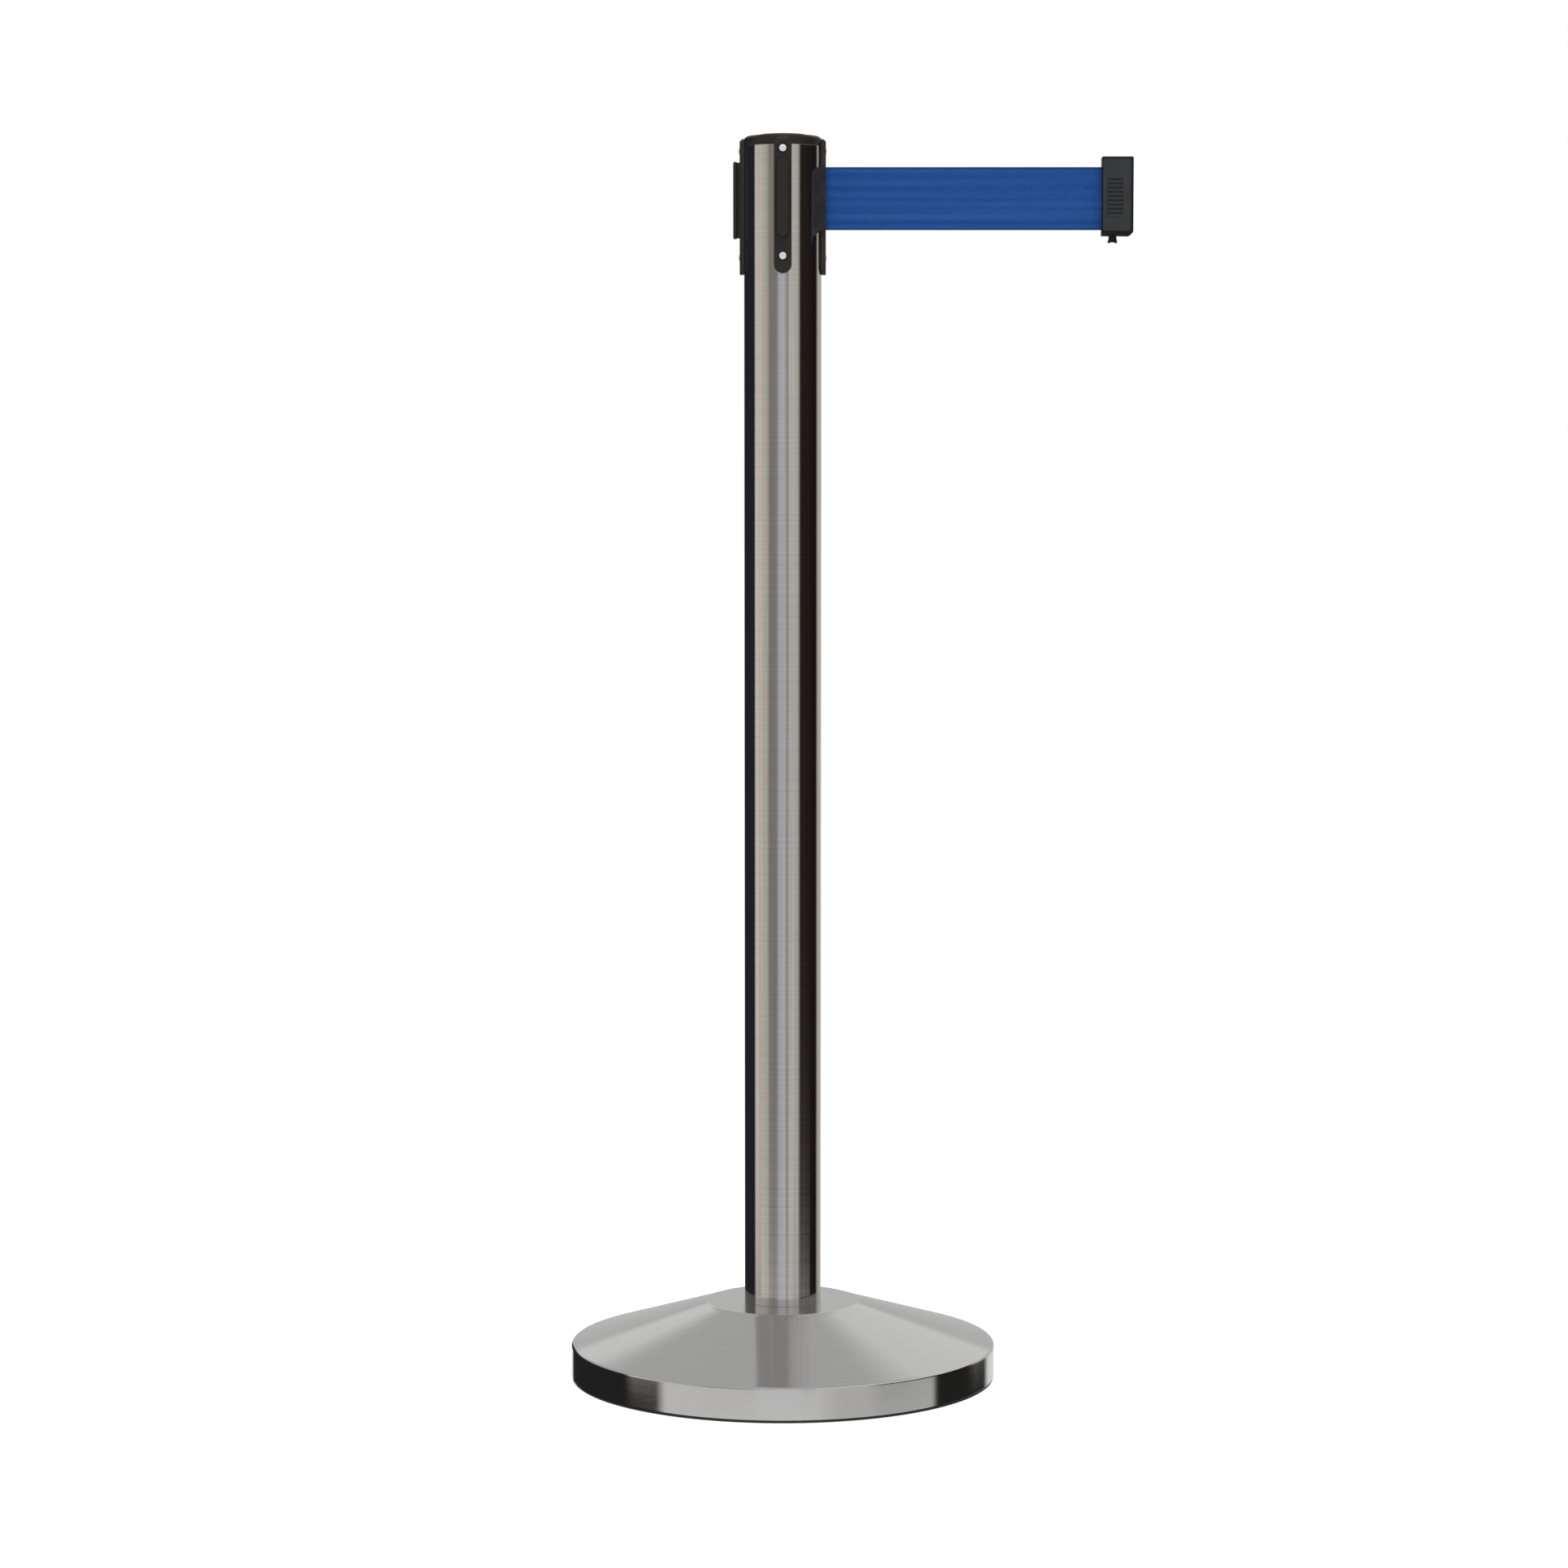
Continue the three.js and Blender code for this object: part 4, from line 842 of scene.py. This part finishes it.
def coil_path():
    """The wound belt: a spiral from the spool's hub out to where the lead leaves it."""
    pitch = math.pi * (COIL_R ** 2 - HUB_R ** 2) / WOUND_LENGTH
    turns = (COIL_R - HUB_R) / pitch
    steps = 40 * math.ceil(turns)
    first, last = HUB_R + COIL_T / 2, COIL_R - COIL_T / 2
    path = []
    for k in range(steps + 1):
        t = k / steps
        angle, radius = TAU * turns * t, first + (last - first) * t
        path.append(Vector((radius * math.cos(angle), radius * math.sin(angle))))
    return path


def lead_path():
    """From the coil round the front guide pin and out to the slot."""
    lo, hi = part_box("guide_pin_front")
    pin = Vector(((lo[0] + hi[0]) / 2, (lo[1] + hi[1]) / 2))
    coil_r, pin_r = COIL_R + GAP + BELT_T / 2, -pin.y
    normal = math.atan2(pin.y, pin.x) + math.acos(-(coil_r + pin_r) / pin.length)
    normal %= TAU
    start = -coil_r * Vector((math.cos(normal), math.sin(normal)))
    end = Vector((STRIP_FACE_X - BELT_LAP - GAP, 0))
    return [start, *arc(pin, pin_r, normal, math.pi / 2, 16), end]


def tail_path():
    """Folded round the clip's pin, with both tails side by side where they are sewn."""
    lo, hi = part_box("belt_tail_loop")
    radius = hi[1] - BELT_T / 2
    pin = Vector((hi[0] - hi[1], 0))
    apart = BELT_T / 2
    sewn_x = lo[0] + BELT_LAP + GAP
    start, end = Vector((sewn_x, -apart)), Vector((sewn_x, apart))
    throat = Vector((pin.x - radius - BELT_T, 0))
    near, far = throat - Vector((0, apart)), throat + Vector((0, apart))
    return [start, near, *arc(pin, radius, -TAIL_SWING, TAIL_SWING, 24), far, end]


def hidden_belt():
    """The stretches of the same belt that the head and the clip hide."""
    coil, lead, tail = coil_path(), lead_path(), tail_path()
    for name, path, thickness, body, node, held, rest in (
            ("belt_roll", coil, COIL_T, "spool", "belt_coil", "folded", "spool"),
            ("belt_lead_fine", lead, BELT_T, "post", "belt_lead", "stretched", "guide_pin_front"),
            ("belt_tail_fine", tail, 0.9 * BELT_T, "belt_end", "belt_tail_loop", "folded",
             "clip_belt_pin")):
        cloth = ribbon(name, path, thickness)
        hand_in(cloth, "blue_webbing", body, node)
        length_of(path)


# ---- Clip on the belt's end ----

def inset(points, amounts):
    """The polygon with each edge (from its point to the next) moved inwards."""
    count = len(points)
    lines = []
    for k in range(count):
        a, b = Vector(points[k]), Vector(points[(k + 1) % count])
        along = (b - a).normalized()
        lines.append((a + Vector((-along.y, along.x)) * amounts[k], along))
    moved = []
    for k in range(count):
        (p, d), (q, e) = lines[k - 1], lines[k]
        t = ((q.x - p.x) * e.y - (q.y - p.y) * e.x) / (d.x * e.y - d.y * e.x)
        moved.append(tuple(p + d * t))
    return moved


def clip_case(name):
    """The whole moulded case with rounded edges, widest along the top and the docking face."""
    (x0, x1), (z0, z1) = CASE_X, CASE_Z
    side = [(x0, z0), (x1 - CASE_CHAMFER, z0), (x1, z0 + CASE_CHAMFER), (x1, z1), (x0, z1)]
    corner = [r * MM for r in (0.8, 0.5, 0.5, 1.0, 0.8)]
    steps = 6
    levels = [(CASE_HALF_Y, CASE_FLAT_RING)]
    for k in range(steps + 1):
        t = math.pi / 2 * k / steps
        levels.append((CASE_HALF_Y - CASE_EDGE_DEPTH * (1 - math.cos(t)), 1 - math.sin(t)))
    rings = []
    for sign, order in ((-1, levels), (1, reversed(levels))):
        for y, share in order:
            outline = fillet(inset(side, [w * share for w in CASE_EDGE_W]), corner, steps=5)
            rings.append([(x, sign * y, z) for x, z in outline])
    return loft(name, rings)


def case_hollows():
    """Cutters for the dock's channel and its lips, the cavity, the belt and the lever."""
    below = CLIP_SPAN_Z[0]
    channel_z = (below, CHANNEL_TOP_Z)
    slot_half = BELT_W / 2 + 1 * MM
    return [
        block("channel", CHANNEL_X, (-CHANNEL_HALF_W, CHANNEL_HALF_W), channel_z),
        block("lips", (CHANNEL_X[1] - 1 * MM, CASE_X[1] + 1 * MM),
              (-CHANNEL_LIP_HALF, CHANNEL_LIP_HALF), channel_z),
        block("cavity", CAVITY_X, (-CAVITY_HALF_Y, CAVITY_HALF_Y), CAVITY_Z),
        block("belt_way", (CASE_X[0] - 1 * MM, CAVITY_X[0] + 1 * MM), (-0.9 * MM, 0.9 * MM),
              (BELT_MID_Z - slot_half, BELT_MID_Z + slot_half)),
        block("lever_way", (LEVER_SLOT_X, CHANNEL_X[0] + 1 * MM),
              (-LEVER_SLOT_HALF, LEVER_SLOT_HALF), (below, LEVER_SLOT_TOP)),
    ]


def case_bosses():
    """Screw bosses and seats that the hollows leave standing inside the case."""
    half_y = CAVITY_HALF_Y + 0.5 * MM
    bosses = [rod("boss", BOSS_R, -half_y, half_y, "Y", (CLIP_SCREW_X, z))
              for z in CLIP_SCREW_Z.values()]
    seats = [rod("seat", PIVOT_SEAT_R, *ys, "Y", PIVOT)
             for ys in ((-half_y, -LEVER_SLOT_HALF), (LEVER_SLOT_HALF, half_y))]
    pin_seat = block("pin_seat", (CAVITY_X[0] - 0.5 * MM, PIN_SEAT_END_X), (-half_y, half_y),
                     (PIN_SEAT_FOOT_Z, CAVITY_Z[1] + 0.5 * MM))
    return [*bosses, *seats, pin_seat]


def grip_places(side, first, count, high):
    """Heights of the ribs or grooves; on the back they leave room round the screw heads."""
    starts = [first + k * RIB_PITCH for k in range(count)]
    return [(z, z + high) for z in starts
            if side < 0 or all(abs(z + high / 2 - screw_z) > RIB_SCREW_ROOM
                               for screw_z in CLIP_SCREW_Z.values())]


def grip_grooves(side):
    """Shallow channels between the ribs."""
    ys = sorted((side * (CASE_HALF_Y - RIB_H), side * (CASE_HALF_Y + 2 * MM)))
    high = RIB_SHARE * RIB_PITCH
    places = grip_places(side, RIB_Z[0] + high, RIB_COUNT - 1, RIB_PITCH - high)
    return [block("groove", RIB_X, ys, zs) for zs in places]


def grip_ribs(side):
    """Low rounded bars across the thumb's place."""
    ys = sorted((side * (CASE_HALF_Y - 0.5 * MM), side * (CASE_HALF_Y + RIB_H)))
    places = grip_places(side, RIB_Z[0], RIB_COUNT, RIB_SHARE * RIB_PITCH)
    return [bevel(block("rib", RIB_X, ys, zs), 0.35 * MM, 3) for zs in places]


def clip_shell(side, name):
    """One half of the case, with its bosses, ribs and holes."""
    shell = cut(clip_case(name), *case_hollows(), *grip_grooves(side))
    join(shell, *case_bosses())
    join(shell, *grip_ribs(side))
    ys = sorted((side * SPLIT, side * CLIP_SPAN_Y))
    combine(shell, "INTERSECT", block("half", CLIP_SPAN_X, ys, (SHELL_FOOT_Z, CLIP_SPAN_Z[1])))
    holes = [rod("pivot_hole", PIN_HOLE_R, -6 * MM, 6 * MM, "Y", PIVOT),
             rod("pin_hole", PIN_HOLE_R, INSIDE_FOOT_Z[0], BELT_PIN_TOP_Z, "Z", (BELT_PIN_X, 0))]
    for z in CLIP_SCREW_Z.values():
        holes.append(rod("screw_hole", 1.3 * MM, -5.5 * MM, 9 * MM, "Y", (CLIP_SCREW_X, z)))
        holes.append(rod("counterbore", COUNTERBORE_R, CLIP_SCREW_SEAT_Y - GAP, 9 * MM, "Y",
                         (CLIP_SCREW_X, z)))
    return smooth(cut(shell, *holes), 32)


def clip_foot():
    """Foot with a spigot up into the shells and an opening for the lever; black plastic darkened
    with painted shade.
    """
    foot = clip_case("clip_foot_fine")
    combine(foot, "INTERSECT", block("slab", CLIP_SPAN_X, (-CLIP_SPAN_Y, CLIP_SPAN_Y),
                                     (CLIP_SPAN_Z[0], FOOT_TOP_Z)))
    y = CAVITY_HALF_Y - GAP
    x0, x1 = CAVITY_X[0] + GAP, CAVITY_X[1] - GAP
    spigot = block("spigot", (x0, x1), (-y, y), (FOOT_TOP_Z - 1 * MM, FOOT_TOP_Z + 1 * MM))
    cut(spigot, block("inside", (x0 + 3.3 * MM, x1 + 2 * MM), (FOOT_WALL - y, y - FOOT_WALL),
                      (CLIP_SPAN_Z[0], INSIDE_FOOT_Z[1])))
    join(foot, spigot)
    channel, lips, cavity, belt_way, lever_way = case_hollows()
    for spare in (cavity, belt_way):
        bpy.data.objects.remove(spare)
    pin_hole = rod("pin_hole", PIN_HOLE_R, FOOT_TOP_Z + 0.1 * MM, INSIDE_FOOT_Z[1], "Z",
                   (BELT_PIN_X, 0))
    cut(foot, channel, lips, lever_way, pin_hole)
    return smooth(foot, 32)


def latch_lever():
    """Lever with a flared, notched thumb tab and a tooth that reaches into the channel."""
    outline = [
        (263.9, 932.6), (267.9, 933.8), (271.9, 932.6), (271.2, 936.2), (270.9, 938.4),
        (275.4, 938.9), (276.8, 939), (279, 941), (279, 941.8), (276.4, 942.8), (274.6, 943.2),
        (273, 948.6), (272.6, 960.6), (269, 960.6), (268.6, 948.6), (265.7, 941),
        (265.2, 938.4), (264.8, 936),
    ]
    radii = [0.6, 2, 0.6, 1, 0.3, 0.2, 0.5, 0.3, 0.3, 0.6, 1, 1, 0.6, 0.6, 1, 1, 0.5, 1]
    points = [(x * MM, z * MM) for x, z in outline]
    lever = prism("latch_lever_fine", fillet(points, [r * MM for r in radii], steps=4),
                  -LEVER_HALF_Y, LEVER_HALF_Y, "Y")
    collar = rod("collar", COLLAR_R, -LEVER_HALF_Y, LEVER_HALF_Y, "Y", PIVOT)
    join(lever, collar)
    bevel(lever, 0.3 * MM, 2, 50)
    cut(lever, rod("pivot_hole", PIN_HOLE_R, -5 * MM, 5 * MM, "Y", PIVOT))
    return smooth(lever, 32)


def clip_screw(level):
    """Pan-head screw from the back of the clip, with a cross recess."""
    head = CLIP_SCREW_SEAT_Y
    tip = [(0, -4.8 * MM), (1 * MM, -4 * MM), (1 * MM, head), (CLIP_SCREW_R, head)]
    dome = [(CLIP_SCREW_R * math.cos(a), head + 0.35 * MM + 0.95 * MM * math.sin(a))
            for a in (math.pi / 2 * k / 7 for k in range(8))]
    screw = lathe(f"clip_screw_{level}_fine", tip + dome, 32, closed=False)
    move(screw, Matrix.Rotation(-math.pi / 2, 4, "X"))
    long, thin, deep = 1.1 * MM, 0.26 * MM, (head + 0.45 * MM, 9 * MM)
    cut(screw, block("cross_a", (-long, long), deep, (-thin, thin)),
        block("cross_b", (-thin, thin), deep, (-long, long)))
    move(screw, Matrix.Translation((CLIP_SCREW_X, 0, CLIP_SCREW_Z[level])))
    return smooth(screw, 30)


def latch_spring():
    """Coil of round wire between the lever and the case; the real one shortens as the lever turns,
    this one keeps one length.
    """
    lo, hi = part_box("latch_spring")
    wire_r, turns, steps, around = 0.25 * MM, 4, 20, 10
    coil_r = (hi[2] - lo[2]) / 2 - wire_r
    x0, x1 = lo[0] + wire_r, hi[0] - wire_r
    z = (lo[2] + hi[2]) / 2
    rings = []
    for k in range(turns * steps + 1):
        t = k / (turns * steps)
        a = TAU * turns * t
        out = Vector((0, math.cos(a), math.sin(a)))
        along = Vector(((x1 - x0) / (TAU * turns), -coil_r * math.sin(a), coil_r * math.cos(a)))
        third = along.normalized().cross(out)
        centre = Vector((x0 + (x1 - x0) * t, 0, z)) + coil_r * out
        rings.append([centre + wire_r * (math.cos(b) * out + math.sin(b) * third)
                      for b in (TAU * n / around for n in range(around))])
    spring = smooth(loft("latch_spring_fine", rings))
    hand_in(spring, "spring_steel", "belt_end", "latch_spring")
    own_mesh(spring)


def clip():
    """All that rides on the belt's end and is seen."""
    for side, name in ((-1, "clip_front_shell"), (1, "clip_back_shell")):
        hand_in(clip_shell(side, name + "_fine"), "grey_plastic", "belt_end", name)
    hand_in(clip_foot(), "black_plastic", "belt_end", "clip_foot", look=black_and_painted_shade_look)
    hand_in(latch_lever(), "black_plastic", "latch", "latch_lever", look=black_and_painted_shade_look)
    for level in CLIP_SCREW_Z:
        hand_in(clip_screw(level), "plain_steel", "belt_end", f"clip_screw_{level}")
    latch_spring()


dress_cad_nodes()
base_shell()
rubber_foot()
post()
cap()
for name in ("front", "left", "back"):
    receiver(name)
mouth()
screws()
belt()
hidden_belt()
clip()


# ---- Stage, light and camera ----

FLOOR_HALF = 40.0
FLOOR_Z = -0.2 * MM
FLOOR_GLOW = 0.6
LAMPS = {                      # place, aim, width, watts
    "overhead": ((0.3, -1.2, 3.4), (0, 0, 0.3), 2.5, 60),
    "front_fill": ((-1.6, -3.2, 1.8), (0, 0, 0.7), 1.6, 12),
}
EYE = (0.001, -3.3, 0.74)
TILT = 4.3                     # degrees down
LENS = 92.5

# Grey panels round the object at eye level: degrees from the front towards the belt's side
EYE_LEVEL = [
    (-180, (0.54, 0.54, 0.54)), (-168, (0.54, 0.54, 0.54)), (-164, (0.02, 0.022, 0.028)),
    (-94, (0.02, 0.024, 0.034)), (-89, (0.84, 0.77, 0.71)), (-60, (0.68, 0.64, 0.59)),
    (-46, (0.53, 0.51, 0.48)), (-40, (0.3, 0.27, 0.24)), (-17, (0.3, 0.29, 0.28)),
    (-12, (0.56, 0.6, 0.63)), (8, (0.58, 0.61, 0.64)), (11, (0.36, 0.37, 0.38)),
    (15, (0.38, 0.38, 0.38)), (19, (0.66, 0.65, 0.63)), (46, (0.58, 0.57, 0.54)),
    (54, (0.025, 0.02, 0.016)), (119, (0.012, 0.009, 0.007)), (128, (0.56, 0.53, 0.5)),
    (163, (0.6, 0.59, 0.58)), (168, (0.54, 0.54, 0.54)), (180, (0.54, 0.54, 0.54)),
]
# The same from below eye level, as the base's rim mirrors it
BELOW = [
    (-180, (0.78, 0.78, 0.78)), (-166, (0.78, 0.78, 0.78)), (-162, (0.02, 0.02, 0.02)),
    (-72, (0.02, 0.02, 0.02)), (-66, (0.72, 0.72, 0.72)), (16, (0.75, 0.75, 0.75)),
    (30, (0.59, 0.59, 0.59)), (88, (0.58, 0.58, 0.58)), (92, (0.02, 0.02, 0.02)),
    (142, (0.02, 0.02, 0.02)), (150, (0.8, 0.8, 0.8)), (180, (0.78, 0.78, 0.78)),
]
BELOW_ENDS = (-0.211, -0.2055)       # sines of the angles above eye level of each changeover
CEILING_STARTS = (0.235, 0.3)
CEILING_SLANT = -0.45                # the ceiling dims sooner on the side away from the belt
CEILING_DIMS = (0.51, 0.62)
CEILING_NEAR = (0.75, 0.75, 0.75)
CEILING_HIGH = (0.51, 0.51, 0.51)


def floor():
    """A pale floor that glows a little, so that it stays as white as the backdrop."""
    bm = bmesh.new()
    corners = ((-1, -1), (1, -1), (1, 1), (-1, 1))
    bm.faces.new([bm.verts.new((FLOOR_HALF * x, FLOOR_HALF * y, FLOOR_Z)) for x, y in corners])
    plane = new_object("studio_floor", bm)
    s = Shader("pale_floor", (0.8, 0.8, 0.8), 0.9, Emission_Strength=FLOOR_GLOW)
    s.bsdf.inputs["Emission Color"].default_value = (1, 1, 1, 1)
    s.bsdf.inputs["Specular IOR Level"].default_value = 0
    plane.data.materials.append(s.material)
    plane.visible_glossy = False


def panels(nodes, place, bands):
    """Colours round the object, blended from one (degrees, colour) to the next."""
    made = nodes.node("ShaderNodeValToRGB", {0: place})
    elements = made.color_ramp.elements
    while len(elements) < len(bands):
        elements.new(0.5)
    for element, (degrees, color) in zip(elements, bands):
        element.position = (degrees + 180) / 360
        element.color = (*color, 1)
    return made.outputs[0]


def studio_world():
    """Pale panels and dark gaps at eye level, an even light from above, and white behind it all."""
    world = bpy.data.worlds.new("studio")
    bpy.context.scene.world = world
    world.use_nodes = True
    world.node_tree.nodes.clear()
    w = Nodes(world.node_tree)
    direction = w.node("ShaderNodeTexCoord").outputs["Generated"]
    x, y, z = w.node("ShaderNodeSeparateXYZ", {0: direction}).outputs
    azimuth = w.math("ARCTAN2", x, w.math("MULTIPLY", y, -1.0))
    place = w.span(azimuth, 0, 1, -math.pi, math.pi)
    eye_level = w.mix(w.span(z, 0, 1, *BELOW_ENDS), panels(w, place, BELOW),
                      panels(w, place, EYE_LEVEL))
    slant = w.math("MULTIPLY_ADD", x, CEILING_SLANT, z)
    ceiling = w.mix(w.span(slant, 0, 1, *CEILING_DIMS), CEILING_NEAR, CEILING_HIGH)
    room = w.mix(w.span(z, 0, 1, *CEILING_STARTS), eye_level, ceiling)
    seen = w.node("ShaderNodeLightPath").outputs["Is Camera Ray"]
    glow = w.node("ShaderNodeBackground", {"Color": w.mix(seen, room, (1, 1, 1)), "Strength": 1.0})
    out = w.node("ShaderNodeOutputWorld")
    w.tree.links.new(glow.outputs[0], out.inputs[0])


def area_light(name, place, aim, size, power):
    """A soft round lamp that no mirror shows."""
    data = bpy.data.lights.new(name, "AREA")
    data.shape = "DISK"
    data.size = size
    data.energy = power
    lamp = bpy.data.objects.new(name, data)
    lamp.location = place
    lamp.rotation_euler = (Vector(aim) - Vector(place)).to_track_quat("-Z", "Y").to_euler()
    lamp.visible_glossy = False
    bpy.context.scene.collection.objects.link(lamp)


def camera():
    """Long lens at the height of the post's upper part, tipped slightly down."""
    data = bpy.data.cameras.new("camera")
    data.lens = LENS
    data.sensor_width = 36
    data.clip_end = 100
    eye = bpy.data.objects.new("camera", data)
    eye.location = EYE
    eye.rotation_euler = (math.radians(90 - TILT), 0, 0)
    bpy.context.scene.collection.objects.link(eye)
    bpy.context.scene.camera = eye


floor()
studio_world()
for lamp, settings in LAMPS.items():
    area_light(lamp, *settings)
camera()
bpy.context.scene.view_settings.view_transform = "Standard"
